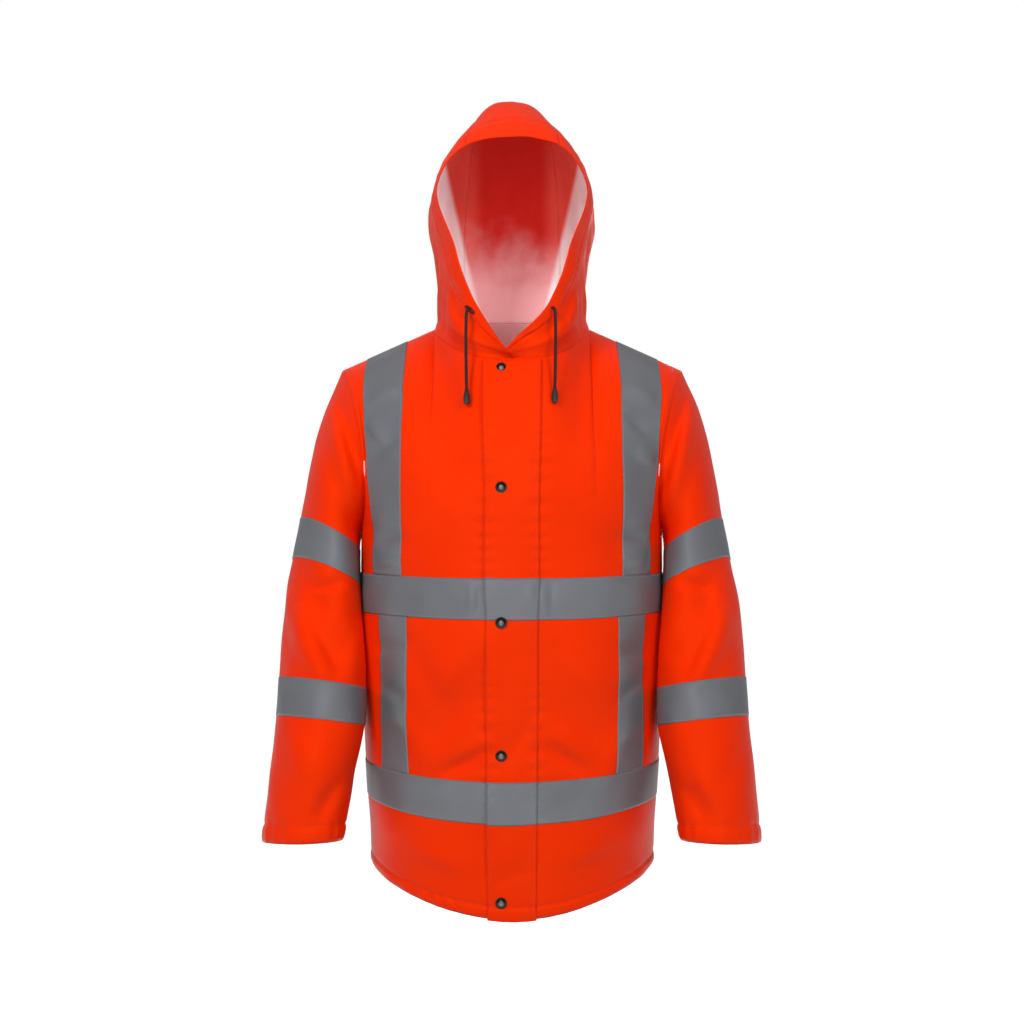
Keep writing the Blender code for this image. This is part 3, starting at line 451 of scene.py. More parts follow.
def glass_bead_tape():
    """Grey reflective tape: glass beads in resin, dull silver, brighter where it faces the light."""
    made, tree, shader = principled("glass_bead_tape")
    place = node(tree, "ShaderNodeTexCoord").outputs["Object"]
    cloud = node(tree, "ShaderNodeTexNoise", {}, Vector=place, Scale=16.0, Detail=4.0).outputs[0]
    tree.links.new(ramp_colours(tree, cloud, "#606165", "#707378"), shader.inputs["Base Color"])
    beads = node(tree, "ShaderNodeTexNoise", {}, Vector=place, Scale=700.0, Detail=1.0).outputs[0]
    weave = cloth_weave(tree, 0.0012, math.radians(45))
    height = node(tree, "ShaderNodeMath", {"operation": "MULTIPLY_ADD"}, _0=weave, _1=0.3,
                  _2=beads).outputs[0]
    bump = node(tree, "ShaderNodeBump", {}, Strength=0.22, Distance=0.0003, Height=height).outputs[0]
    tree.links.new(bump, shader.inputs["Normal"])
    shader.inputs["Metallic"].default_value = 0.30
    shader.inputs["Roughness"].default_value = 0.48
    shader.inputs["Specular IOR Level"].default_value = 0.35
    return made


def plain_finish(name, low, high, scale, roughness, metallic=0.0, bump_depth=0.0002):
    """Two close colours in a fine mottle, with a matching faint bump."""
    made, tree, shader = principled(name)
    place = node(tree, "ShaderNodeTexCoord").outputs["Object"]
    cloud = node(tree, "ShaderNodeTexNoise", {}, Vector=place, Scale=scale, Detail=3.0).outputs[0]
    tree.links.new(ramp_colours(tree, cloud, low, high), shader.inputs["Base Color"])
    bump = node(tree, "ShaderNodeBump", {}, Strength=0.3, Distance=bump_depth, Height=cloud).outputs[0]
    tree.links.new(bump, shader.inputs["Normal"])
    shader.inputs["Roughness"].default_value = roughness
    shader.inputs["Metallic"].default_value = metallic
    return made


def braided_cord():
    """Dark braided polyester: two sets of plaits crossing at a steep angle."""
    made, tree, shader = principled("braided_polyester")
    place = node(tree, "ShaderNodeUVMap", {"uv_map": "cut"}).outputs[0]
    axes = node(tree, "ShaderNodeSeparateXYZ", {}, _0=place)
    waves = []
    for sign in (1, -1):
        turn = node(tree, "ShaderNodeMath", {"operation": "MULTIPLY"}, _0=axes.outputs[0],
                    _1=sign * math.tau * 4).outputs[0]
        run = node(tree, "ShaderNodeMath", {"operation": "MULTIPLY_ADD"}, _0=axes.outputs[1],
                   _1=math.tau / 0.0030, _2=turn).outputs[0]
        waves.append(node(tree, "ShaderNodeMath", {"operation": "SINE"}, _0=run).outputs[0])
    plait = node(tree, "ShaderNodeMath", {"operation": "MAXIMUM"}, _0=waves[0], _1=waves[1]).outputs[0]
    tree.links.new(ramp_colours(tree, plait, "#1a0805", "#361510"), shader.inputs["Base Color"])
    bump = node(tree, "ShaderNodeBump", {}, Strength=0.8, Distance=0.0004, Height=plait).outputs[0]
    tree.links.new(bump, shader.inputs["Normal"])
    shader.inputs["Roughness"].default_value = 0.75
    return made


# ---------------------------------------------------------------- surfaces


def through(stations, rows, places):
    """Smooth curve through a table's rows, read at places along its stations."""
    stations = np.asarray(stations, float)
    rows = np.asarray(rows, float)
    places = np.asarray(places, float)
    slopes = np.gradient(rows, stations, axis=0)
    index = np.clip(np.searchsorted(stations, places, side="right") - 1, 0, len(stations) - 2)
    step = stations[index + 1] - stations[index]
    part = (places - stations[index]) / step
    if rows.ndim > 1:
        step = step[..., None]
        part = part[..., None]
    blend = part * part * (3 - 2 * part)
    lean_in = part * (1 - part) ** 2 * step
    lean_out = -part * part * (1 - part) * step
    return ((1 - blend) * rows[index] + blend * rows[index + 1]
            + lean_in * slopes[index] + lean_out * slopes[index + 1])


def ease(value):
    """0 to 1 with soft ends."""
    value = np.clip(value, 0.0, 1.0)
    return value * value * (3 - 2 * value)


def ridge(distance, width):
    """Soft bell of a distance."""
    return np.exp(-(distance / width) ** 2)


def fold_height(folds, face, u, v, u_scale, v_scale):
    """Sum of the soft ridges and troughs of one face at its places u and v."""
    total = np.zeros(np.broadcast(u, v).shape)
    for fold_face, start, end, height, width in folds:
        if fold_face != face:
            continue
        ax, ay = start[0] * u_scale, start[1] * v_scale
        bx, by = end[0] * u_scale - ax, end[1] * v_scale - ay
        px, py = u * u_scale - ax, v * v_scale - ay
        along = (px * bx + py * by) / (bx * bx + by * by)
        inside = np.clip(along, 0.0, 1.0)
        away = np.hypot(px - inside * bx, py - inside * by)
        taper = np.exp(-((inside - 0.5) * 1.6) ** 2)
        total = total + height * taper * np.exp(-(away / width) ** 2)
    return total


def creases(rows, x, z):
    """Height of listed creases: each steep on one side, softer on the other."""
    total = np.zeros(x.shape)
    for start, end, height, width in rows:
        run = np.array(end) - np.array(start)
        length = np.linalg.norm(run)
        run = run / length
        ahead = ((x - start[0]) * run[0] + (z - start[1]) * run[1]) / length
        aside = (z - start[1]) * run[0] - (x - start[0]) * run[1]
        beyond = np.maximum(np.abs(ahead - 0.5) - 0.5, 0) * length
        soft = np.where(aside * np.sign(run[0] + 1e-9) > 0, SOFT_SIDE * width, width)
        fade = 1 - 0.75 * np.clip(np.abs(2 * ahead - 1), 0, 1) ** 2
        total = total + CREASE_DEPTH * height * fade * np.exp(-(aside / soft) ** 2 - (beyond / width) ** 2)
    return total


def slack(points, size, height, seed):
    """Gentle unevenness of worn cloth, the same each run: a few long crossing waves."""
    chance = np.random.default_rng(seed)
    total = np.zeros(points.shape[:-1])
    for _ in range(7):
        direction = chance.normal(size=3) * np.array([1.0, 1.0, 0.6])
        direction /= np.linalg.norm(direction)
        length = size * chance.uniform(0.6, 1.5)
        total += np.sin(points @ direction * math.tau / length + chance.uniform(0, math.tau))
    return total * height / 3.0


def body_section(level):
    """Half width, front depth, back depth and side rise at a level."""
    table = np.array(BODY_SECTIONS)
    return np.moveaxis(through(table[:, 0], table[:, 1:], level), -1, 0)


def neck_line(place):
    """Neck seam from the chin, at 0, round one side to the centre back, at 1."""
    return through(HOOD_PLACES, HOOD_ARCHES[-1][1:], place)


def yoke_end(face, across):
    """Point of the neck or shoulder seam that a line of the body runs up to."""
    share = across / NECK_ACROSS
    crown_share = HOOD_PLACES[3]
    place = crown_share * share if face < 0 else 1 - (1 - crown_share) * share
    neck = neck_line(np.clip(place, 0.0, 1.0))
    seam = np.array(SHOULDER_SEAM)
    x = through(seam[:, 0], seam[:, 1], np.maximum(across, NECK_ACROSS))
    shoulder = np.stack([x, 0 * x, -SHOULDER_DROP * (x - SHOULDER_SEAM[0][1])], -1)
    return np.where((across < NECK_ACROSS)[..., None], neck, shoulder)


def plain_body(face, across, level):
    """Points of the body without folds: face -1 is the front and 1 the back."""
    across, level = np.broadcast_arrays(np.asarray(across, float), np.asarray(level, float))
    side = np.where(across < 0, -1.0, 1.0)
    shift = 1 - (1 - LOW_TAPE_SHIFT) * ease((WAIST_TAPE[1] - level) / (WAIST_TAPE[1] - WAIST_TAPE[0]))
    place = np.abs(across)
    shifted = place * np.where(place < TAPE_ACROSS[1], shift,
                               shift + (1 - shift) * (place - TAPE_ACROSS[1]) / (90 - TAPE_ACROSS[1]))
    angle = np.radians(shifted)
    half, front, back, rise = body_section(np.minimum(level, CHEST))
    out = np.sin(angle) ** (2 / SQUARENESS)
    depth = front if face < 0 else back
    low = np.stack([half * out,
                    face * depth * np.clip(np.cos(angle), 0, 1) ** (2 / SQUARENESS),
                    np.minimum(level, CHEST) + rise * out ** HEM_CURVE], -1)
    places = [row[0] for row in YOKE]
    start = through(places, [row[1] for row in YOKE], place)
    end = through(places, [row[2] for row in YOKE], place)
    for direction in (start, end):
        direction[..., 1] *= -face
    up = np.clip((level - CHEST) / ARMHOLE_RISE, 0.0, 1.0)[..., None]
    blend = up * up * (3 - 2 * up)
    points = ((1 - blend) * low + blend * yoke_end(face, place)
              + up * (1 - up) ** 2 * start - up * up * (1 - up) * end)
    points[..., 0] *= side
    return points


def body_outward(points):
    """Direction out of the body, alike on both sides of every seam."""
    inner = np.stack([0.6 * points[..., 0], 0 * points[..., 1],
                      np.minimum(points[..., 2], -0.12 - 0.25 * np.abs(points[..., 0]))], -1)
    outward = points - inner
    return outward / np.linalg.norm(outward, axis=-1, keepdims=True)


def body_relief(face, across, level, points):
    """How far the cloth stands out of its plain form: folds, slack, seams, puckers and hem."""
    x, z = points[..., 0], points[..., 2]
    calm = SIDE_CALM + (1 - SIDE_CALM) * ease((90 - np.abs(across)) / 25)
    folds = fold_height(BODY_FOLDS, face, across, level, 0.0033, 1.0)
    folds = folds * ease((90 - np.abs(across)) / 14)
    fine = creases(FRONT_CREASES if face < 0 else BACK_CREASES, x, z) * ease((90 - np.abs(across)) / 12)
    height = folds + fine + slack(points, 0.17, 0.0019, 11) * calm + slack(points, 0.06, 0.0005, 12) * calm
    height = height - 0.0009 * ridge(np.abs(90 - np.abs(across)) * 0.0030, 0.0030)
    low = level - HEM_LEVEL
    hem = ease(low / 0.003) * ease((HEM_DEPTH - low) / 0.004)
    height = height + 0.0010 * hem - 0.0012 * ridge(low - HEM_DEPTH, 0.0024)
    drift = x + 0.35 * low + 0.004 * np.sin(x * 70)
    pucker = np.sin(drift * 330) * (0.6 + 0.4 * np.sin(x * 47))
    height = height + 0.0010 * pucker * ridge(low - HEM_DEPTH * 0.62, 0.009)
    for edge in (*HEM_TAPE, *WAIST_TAPE):
        height = height - 0.0004 * ridge(level - edge, 0.0040)
    if face < 0:
        sewn = np.abs(across) - FLAP_ACROSS
        gather = np.sin(level * 340 + 2 * np.sin(level * 43)) * (0.55 + 0.45 * np.sin(level * 21))
        height = height + 0.0009 * gather * ridge(sewn, 3.2) * ease((YOKE_TOP - 0.03 - level) / 0.03)
    return height * ease((YOKE_TOP - level) / 0.02)


def body(face, across, level):
    """Points of the worn body cloth."""
    across, level = np.broadcast_arrays(np.asarray(across, float), np.asarray(level, float))
    points = plain_body(face, across, level)
    height = body_relief(face, across, level, points)
    return points + body_outward(points) * height[..., None]


def armhole(side, around):
    """Loop that a sleeve is sewn to: 0 is the shoulder, 90 the front, 180 the underarm."""
    level = CHEST + ARMHOLE_RISE * (1 - np.abs(around) / 180)
    front = body(-1, side * (90.0 + 0 * level), level)
    back = body(1, side * (90.0 + 0 * level), level)
    return np.where((around > 0)[..., None], front, back) * np.array([side, 1.0, 1.0])


def clear_of_body(points, clearance):
    """Points moved straight out of the body where they would come too close to it."""
    half, front, back, _ = body_section(np.clip(points[..., 2], HEM_LEVEL, CHEST))
    depth = np.where(points[..., 1] < 0, front, back)
    reach = ((np.abs(points[..., 0]) / (half + clearance)) ** SQUARENESS
             + (np.abs(points[..., 1]) / (depth + clearance)) ** SQUARENESS) ** (1 / SQUARENESS)
    push = np.maximum(1.0, 1.0 / np.maximum(reach, 0.5))
    below = ease((CHEST + 0.004 - points[..., 2]) / 0.012)
    push = 1 + (push - 1) * below
    moved = points.copy()
    moved[..., 0] *= push
    moved[..., 1] *= push
    return moved


def sleeve_relief(side, along, around, points):
    """How far a sleeve's cloth stands out of its plain form."""
    x, z = side * points[..., 0], points[..., 2]
    front = ease(np.sin(np.radians(around)) / 0.45)
    back = ease(-np.sin(np.radians(around)) / 0.45)
    height = fold_height(SLEEVE_FOLDS, side, along, around, SLEEVE_LENGTH, SLEEVE_GIRTH)
    height = height + creases([row[1:] for row in SLEEVE_CREASES if row[0] < 0], x, z) * front
    height = height + creases([row[1:] for row in SLEEVE_CREASES if row[0] > 0], x, z) * back
    signed = points * np.array([side, 1, 1])
    height = height + slack(signed, 0.14, 0.0018, 23) + slack(signed, 0.05, 0.0005, 24)
    up = (1 - along) * SLEEVE_LENGTH
    cuff = ease(up / 0.003) * ease((HEM_DEPTH - up) / 0.004)
    height = height + 0.0009 * cuff - 0.0012 * ridge(up - HEM_DEPTH, 0.0024)
    drift = around + 180 * up
    pucker = np.sin(np.radians(drift * 18)) * (0.6 + 0.4 * np.sin(np.radians(around * 3)))
    return height + 0.0008 * pucker * ridge(up - HEM_DEPTH * 0.62, 0.009)


def sleeve(side, along, around):
    """Points of a sleeve: along 0 to 1, around as the armhole, -180 to 180."""
    along, around = np.broadcast_arrays(np.asarray(along, float), np.asarray(around, float))
    stations = [row[0] for row in SLEEVE_RINGS]
    inner = through(stations, [row[1] for row in SLEEVE_RINGS], along)
    outer = through(stations, [row[2] for row in SLEEVE_RINGS], along)
    shape = through(stations, [row[3:] for row in SLEEVE_RINGS], along)
    depth, turn, lean = np.moveaxis(shape, -1, 0)
    angle = np.radians(around)
    middle = (inner + outer) / 2
    turn = np.radians(turn)
    forward = np.stack([-np.sin(turn), -np.cos(turn), lean], -1) * depth[..., None]
    ring = (middle + (outer - inner) / 2 * np.cos(angle)[..., None]
            + forward * np.sin(angle)[..., None])
    first = np.array(SLEEVE_RINGS[0][1]), np.array(SLEEVE_RINGS[0][2])
    plain = ((first[0] + first[1]) / 2 + (first[1] - first[0]) / 2 * np.cos(angle)[..., None]
             + np.array([0, -1, 0]) * SLEEVE_RINGS[0][3] * np.sin(angle)[..., None])
    fit = (1 - ease(along / 0.30))[..., None]
    ring = ring + (armhole(side, around) - plain) * fit
    outward = ring - middle
    outward /= np.linalg.norm(outward, axis=-1, keepdims=True)
    height = sleeve_relief(side, along, around, ring) * ease(along / 0.06)
    ring = clear_of_body(ring + outward * height[..., None], SLEEVE_CLEARANCE)
    return ring * np.array([side, 1.0, 1.0])


def hood_relief(back, around, points):
    """How far the hood's cloth stands out of its plain form: casing, seams and creases."""
    x, y, z = points[..., 0], points[..., 1], points[..., 2]
    behind = ease((y + 0.01) / 0.05)
    height = creases([row[1:] for row in HOOD_CREASES if row[0] > 0], x, z) * behind
    height = height + creases([row[1:] for row in HOOD_CREASES if row[0] < 0], x, z) * (1 - behind)
    height = height + creases(HOOD_SIDE_CREASES, y, z) * ease((np.abs(x) - 0.060) / 0.025)
    height = height + slack(points, 0.13, 0.0017, 47) + slack(points, 0.045, 0.0007, 48)
    gather = np.sin(np.abs(around) * 150 + 2 * np.sin(around * 31))
    height = height + 0.0012 * ease((CASING - back) / 0.02) - 0.0012 * ridge(back - CASING, 0.008)
    height = height + 0.0005 * gather * ridge(back - CASING, 0.05)
    peak = ridge(np.abs(around) - 0.15, 0.080) * ridge(back - 0.27, 0.17)
    cheek = ease((np.abs(x) - 0.060) / 0.030) * ridge(z - 0.080, 0.080)
    height = height - PEAK_FALL * peak - JAW_FALL * cheek
    seam = (np.abs(around) - (1 - BROW_PLACE)) * 0.45
    return height - 0.0010 * ridge(seam, 0.0028)


def hood(back, around):
    """Points of the hood: back 0 at the face to 1 at the neck, around -1 to 1 over the crown."""
    back, around = np.broadcast_arrays(np.asarray(back, float), np.asarray(around, float))
    place = 1 - np.abs(around)
    arches = np.array([row[1:] for row in HOOD_ARCHES])
    share_back = through([row[0] for row in HOOD_ARCHES], np.eye(len(HOOD_ARCHES)), back)
    share_round = through(HOOD_PLACES, np.eye(len(HOOD_PLACES)), place)
    points = np.einsum("...a,...k,akc->...c", share_back, share_round, arches)
    points[..., 0] *= np.where(around < 0, -1.0, 1.0)
    chin = 1 - ease(place / 0.22)
    points[..., 0] += CHIN_SHIFT * chin * (1 - back)
    crown = np.maximum(0.0, CROWN_ROUND - np.abs(around))
    points[..., 2] -= CROWN_SLOPE * crown ** 2 / (2 * CROWN_ROUND) * (1 - back)
    inner = points * np.array([0.3, 0.0, 0.0])
    inner[..., 2] = np.clip(points[..., 2], 0.02, 0.15)
    outward = points - inner
    outward /= np.linalg.norm(outward, axis=-1, keepdims=True)
    height = hood_relief(back, around, points) * ease((1 - back) / 0.08)
    return points + outward * height[..., None]


# ---------------------------------------------------------------- making meshes


def lines(stops, lengths, cell=CELL):
    """Grid lines between stops, about one cell apart; lengths are metres between the stops."""
    made = []
    for start, end, length in zip(stops, stops[1:], lengths):
        count = max(1, round(length / cell))
        made.extend(np.linspace(start, end, count, endpoint=False))
    made.append(stops[-1])
    return np.array(made)


def grid_normals(grid, closed=False):
    """Unit normals of a grid whose columns run left to right seen from outside."""
    if closed:
        across = np.roll(grid, -1, 1) - np.roll(grid, 1, 1)
    else:
        across = np.gradient(grid, axis=1)
    along = np.gradient(grid, axis=0)
    normals = np.cross(across, along)
    return normals / np.maximum(np.linalg.norm(normals, axis=-1, keepdims=True), 1e-12)


def cut_places(grid):
    """Place of each grid point on the flat cloth, in metres: across, along."""
    across = np.linalg.norm(np.diff(grid, axis=1), axis=-1)
    along = np.linalg.norm(np.diff(grid, axis=0), axis=-1)
    u = np.concatenate([np.zeros((grid.shape[0], 1)), np.cumsum(across, 1)], 1)
    v = np.concatenate([np.zeros((1, grid.shape[1])), np.cumsum(along, 0)], 0)
    return u - u.mean(1, keepdims=True), v


def link(name, mesh, finishes):
    """Object of a mesh with its finishes."""
    for finish in finishes:
        mesh.materials.append(finish)
    made = bpy.data.objects.new(name, mesh)
    bpy.context.scene.collection.objects.link(made)
    return made


def settle(piece, slot, *nodes):
    """Ride the piece on the jacket, with the nodes that it stands for; its slot is not used."""
    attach(piece, "root")
    if nodes:
        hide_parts(*nodes)


def sheet_mesh(name, grid, thickness, finishes, flip=False, closed=False, offset=0.0):
    """Cloth sheet of real thickness round a grid, with its flat places as UV."""
    rows, columns = grid.shape[:2]
    if closed:
        grid = np.concatenate([grid, grid[:, :1]], 1)
    u, v = cut_places(grid)
    wide = columns if closed else columns - 1
    i, j = np.meshgrid(np.arange(rows - 1), np.arange(wide), indexing="ij")
    k = (j + 1) % columns
    corners = np.stack([i * columns + j, i * columns + k, (i + 1) * columns + k,
                        (i + 1) * columns + j], -1).reshape(-1, 4)
    flat = np.stack([np.stack([u[i, j], u[i, j + 1], u[i + 1, j + 1], u[i + 1, j]], -1),
                     np.stack([v[i, j], v[i, j + 1], v[i + 1, j + 1], v[i + 1, j]], -1)], -1)
    flat = flat.reshape(-1, 4, 2)
    if flip:
        corners, flat = corners[:, ::-1], flat[:, ::-1]
    mesh = bpy.data.meshes.new(name)
    mesh.from_pydata(grid[:, :columns].reshape(-1, 3).tolist(), [], corners.tolist())
    layer = mesh.uv_layers.new(name="cut")
    layer.data.foreach_set("uv", flat.reshape(-1))
    mesh.shade_smooth()
    made = link(name, mesh, finishes)
    solidify = made.modifiers.new("wall", "SOLIDIFY")
    solidify.thickness = thickness
    solidify.offset = offset
    if len(finishes) > 1:
        solidify.material_offset = 1
        solidify.material_offset_rim = 0
    bpy.context.view_layer.objects.active = made
    made.select_set(True)
    bpy.ops.object.modifier_apply(modifier="wall")
    made.select_set(False)
    return made


def cloth_piece(name, grid, rests, flip=False, closed=False, reverse="reverse"):
    """One cut panel of the jacket, with its flat cut as UV."""
    made = sheet_mesh(name, grid, CLOTH, [FINISH["cloth"], FINISH[reverse]], flip, closed)
    settle(made, "shell_cloth", *rests)
    return made


def tape_piece(name, grid, flip=False, closed=False):
    """One strip of tape, lying on its panel, with its flat cut as UV."""
    made = sheet_mesh(name + "_strip", grid, TAPE, [FINISH["tape"]], flip, closed)
    settle(made, "reflective_tape", name)
    return made


# ---------------------------------------------------------------- pieces


def body_levels(low, high):
    """Grid levels between two levels, with lines on the tape edges, the hem and the underarm."""
    stops = [HEM_LEVEL, HEM_LEVEL + 0.003, HEM_LEVEL + HEM_DEPTH, *HEM_TAPE, *WAIST_TAPE, CHEST]
    stops = [low] + [stop for stop in stops if low + 1e-6 < stop < high - 1e-6] + [high]
    lengths = [(end - start) * (1.35 if end > CHEST + 1e-6 else 1.0)
               for start, end in zip(stops, stops[1:])]
    return lines(stops, lengths)


def body_across(low, high):
    """Grid places across between two places."""
    stops = [-90, -TAPE_ACROSS[1], -TAPE_ACROSS[0], -NECK_ACROSS, -FLAP_ACROSS, 0,
             FLAP_ACROSS, NECK_ACROSS, TAPE_ACROSS[0], TAPE_ACROSS[1], 90]
    stops = [low] + [stop for stop in stops if low + 1e-6 < stop < high - 1e-6] + [high]
    lengths = [abs(end - start) * 0.0034 for start, end in zip(stops, stops[1:])]
    return lines(stops, lengths)


def body_patch(face, across, level, lift=0.0):
    """Grid of part of the body, moved out of the cloth by a lift."""
    grid = body(face, across[None, :], level[:, None])
    return grid - face * grid_normals(grid) * lift


THREAD_ROWS = {"orange_thread": [], "grey_thread": []}


def stitch(thread, row, lift):
    """Note a row of stitches along points on the cloth, standing out by a lift from its middle."""
    points, outward = row
    THREAD_ROWS[thread].append(points + outward * lift)


def body_row(face, across, level):
    """Points along a line of the body, and the directions out of the cloth there."""
    across, level = np.broadcast_arrays(np.asarray(across, float), np.asarray(level, float))
    points = body(face, across, level)
    return points, body_outward(points)


def sleeve_row(side, along):
    """Points round a sleeve, and the directions out of the cloth there."""
    around = np.linspace(-180, 180, 361)
    points = sleeve(side, along + 0 * around, around)
    outward = points - points[:-1].mean(0)
    return points, outward / np.linalg.norm(outward, axis=-1, keepdims=True)


def hood_row(back, around):
    """Points along a line of the hood, and the directions out of the cloth there."""
    back, around = np.broadcast_arrays(np.asarray(back, float), np.asarray(around, float))
    points = hood(back, around)
    inner = points * np.array([0.3, 0.0, 0.0])
    inner[..., 2] = np.clip(points[..., 2], 0.02, 0.15)
    outward = points - inner
    return points, outward / np.linalg.norm(outward, axis=-1, keepdims=True)


def note_stitches():
    """All the rows of stitching that show: hem, cuffs, tape edges, flap, the hood's face edge, casing and
    panel seams.
    """
    on_cloth = CLOTH / 2 + 0.0001
    on_tape = TAPE_LIFT + TAPE / 2 + 0.0001
    inset = 0.0022
    wide = np.linspace(-90, 90, 700)
    for face in (-1, 1):
        stitch("orange_thread", body_row(face, wide, HEM_LEVEL + HEM_DEPTH), on_cloth)
        stitch("orange_thread", body_row(face, wide, HEM_LEVEL + HEM_DEPTH + 0.0026), on_cloth)
        for low, high in (HEM_TAPE, WAIST_TAPE):
            stitch("grey_thread", body_row(face, wide, low + inset), on_tape)
            stitch("grey_thread", body_row(face, wide, high - inset), on_tape)
        for sign in (-1, 1):
            for place in (TAPE_ACROSS[0] + 0.8, TAPE_ACROSS[1] - 0.8):
                low = np.linspace(HEM_TAPE[1] + inset, WAIST_TAPE[0] - inset, 300)
                high = np.linspace(WAIST_TAPE[1] + inset, YOKE_TOP - inset, 400)
                stitch("grey_thread", body_row(face, sign * place, low), on_tape)
                stitch("grey_thread", body_row(face, sign * place, high), on_tape)
    level = np.linspace(HEM_LEVEL + 0.004, YOKE_TOP - 0.008, 800)
    for place in (FLAP_ACROSS - 0.7, FLAP_ACROSS - 2.3):
        points = flap_grid(np.array([place - 0.1, place, place + 0.1]), level)[:, 1]
        stitch("orange_thread", (points, body_outward(points)), on_cloth)
    points = flap_grid(np.array([-6.3, -6.2, -6.1]), level)[:, 1]
    stitch("orange_thread", (points, body_outward(points)), on_cloth)
    for side in (-1, 1):
        stitch("orange_thread", sleeve_row(side, 1 - HEM_DEPTH / SLEEVE_LENGTH), on_cloth)
        for low, high in SLEEVE_TAPES:
            stitch("grey_thread", sleeve_row(side, low + inset / SLEEVE_LENGTH), on_tape)
            stitch("grey_thread", sleeve_row(side, high - inset / SLEEVE_LENGTH), on_tape)
    round_face = np.linspace(-0.97, 0.97, 900)
    stitch("orange_thread", hood_row(CASING, round_face), on_cloth)
    stitch("orange_thread", hood_row(0.012, round_face), on_cloth)
    run = np.linspace(0.02, 0.96, 500)
    for sign in (-1, 1):
        for place in (1 - BROW_PLACE - 0.007, 1 - BROW_PLACE + 0.007):
            stitch("orange_thread", hood_row(run, sign * place), on_cloth)


def make_stitching():
    """Every noted row as separate stitches, copies of one small thread shape, joined by thread."""
    bpy.ops.object.select_all(action="DESELECT")
    bpy.ops.mesh.primitive_uv_sphere_add(segments=6, ring_count=4, radius=1.0)
    pattern = bpy.context.active_object
    shape = np.array([tuple(v.co) for v in pattern.data.vertices])
    faces = [tuple(face.vertices) for face in pattern.data.polygons]
    bpy.data.objects.remove(pattern, do_unlink=True)
    slots = {"orange_thread": "shell_cloth", "grey_thread": "reflective_tape"}
    for thread, rows in THREAD_ROWS.items():
        copies, all_faces = [], []
        for row in rows:
            run = np.concatenate([[0], np.cumsum(np.linalg.norm(np.diff(row, axis=0), axis=1))])
            starts = np.arange(0.002, run[-1] - 0.002 - STITCH_LENGTH, STITCH_PITCH)
            first = np.stack([np.interp(starts, run, row[:, k]) for k in range(3)], -1)
            last = np.stack([np.interp(starts + STITCH_LENGTH, run, row[:, k]) for k in range(3)], -1)
            for start, end in zip(first, last):
                ahead = (end - start) / np.linalg.norm(end - start)
                aside = np.cross(ahead, (0.31, 0.52, 0.79))
                aside /= np.linalg.norm(aside)
                other = np.cross(ahead, aside)
                frame_of = np.array([aside * STITCH_RADIUS, other * STITCH_RADIUS,
                                     ahead * STITCH_LENGTH / 2])
                base = len(copies) * len(shape)
                copies.append(shape @ frame_of + (start + end) / 2)
                all_faces.extend(tuple(base + k for k in face) for face in faces)
        mesh = bpy.data.meshes.new(thread)
        mesh.from_pydata(np.concatenate(copies).tolist(), [], all_faces)
        mesh.shade_smooth()
        settle(link(f"stitching_{thread}", mesh, [FINISH[thread]]), slots[thread])


def make_fronts_and_back():
    """The two fronts and the back."""
    level = body_levels(HEM_LEVEL, YOKE_TOP)
    cloth_piece("front_right_panel", body_patch(-1, body_across(-90, 0), level),
                ["front_right"])
    cloth_piece("front_left_panel", body_patch(-1, body_across(0, 90), level),
                ["front_left"])
    cloth_piece("back_panel", body_patch(1, body_across(-90, 90), level), ["back"], flip=True)


def flap_grid(across, level, lift=0.0):
    """Storm flap over the fronts, proud at its free edge and pressed down at the snaps."""
    grid = body(-1, across[None, :], level[:, None])
    out = grid_normals(grid)
    free = 1 - ease((across[None, :] + FLAP_ACROSS) / (2 * FLAP_ACROSS))
    pressed = sum(ridge(level[:, None] - snap, 0.030) for snap in SNAP_LEVELS)
    proud = 0.0015 + free * (0.0008 + 0.0026 * (1 - np.clip(pressed, 0, 1)))
    return grid + out * (proud + lift)[..., None]


def make_flap():
    """Storm flap and the stretches of tape on it."""
    across = body_across(-FLAP_ACROSS, FLAP_ACROSS)
    level = body_levels(HEM_LEVEL - 0.002, YOKE_TOP - 0.004)
    cloth_piece("storm_flap_panel", flap_grid(across, level), ["storm_flap"])
    for name, band in (("hem", HEM_TAPE), ("waist", WAIST_TAPE)):
        rows = lines(band, [band[1] - band[0]])
        tape_piece(f"{name}_tape_flap", flap_grid(across, rows, TAPE_LIFT))


def make_body_tapes():
    """Tapes on the fronts and the back."""
    for name, band in (("hem", HEM_TAPE), ("waist", WAIST_TAPE)):
        rows = lines(band, [band[1] - band[0]])
        tape_piece(f"{name}_tape_front_right",
                   body_patch(-1, body_across(-90, -FLAP_ACROSS + 2), rows, TAPE_LIFT))
        tape_piece(f"{name}_tape_front_left",
                   body_patch(-1, body_across(FLAP_ACROSS - 0.5, 90), rows, TAPE_LIFT))
        tape_piece(f"{name}_tape_back", body_patch(1, body_across(-90, 90), rows, TAPE_LIFT),
                   flip=True)
    low_rows = lines((HEM_TAPE[1], WAIST_TAPE[0]), [WAIST_TAPE[0] - HEM_TAPE[1]])
    yoke_rows = body_levels(WAIST_TAPE[1], YOKE_TOP)
    for side, sign in (("right", -1), ("left", 1)):
        across = body_across(*sorted((sign * TAPE_ACROSS[0], sign * TAPE_ACROSS[1])))
        tape_piece(f"low_tape_front_{side}", body_patch(-1, across, low_rows, TAPE_LIFT))
        tape_piece(f"low_tape_back_{side}", body_patch(1, across, low_rows, TAPE_LIFT), flip=True)
        front = body(-1, across[None, :], yoke_rows[:, None])
        back = body(1, across[None, :], yoke_rows[:, None])
        whole = np.concatenate([front, back[-2::-1]])
        tape_piece(f"shoulder_tape_{side}", whole + grid_normals(whole) * TAPE_LIFT)


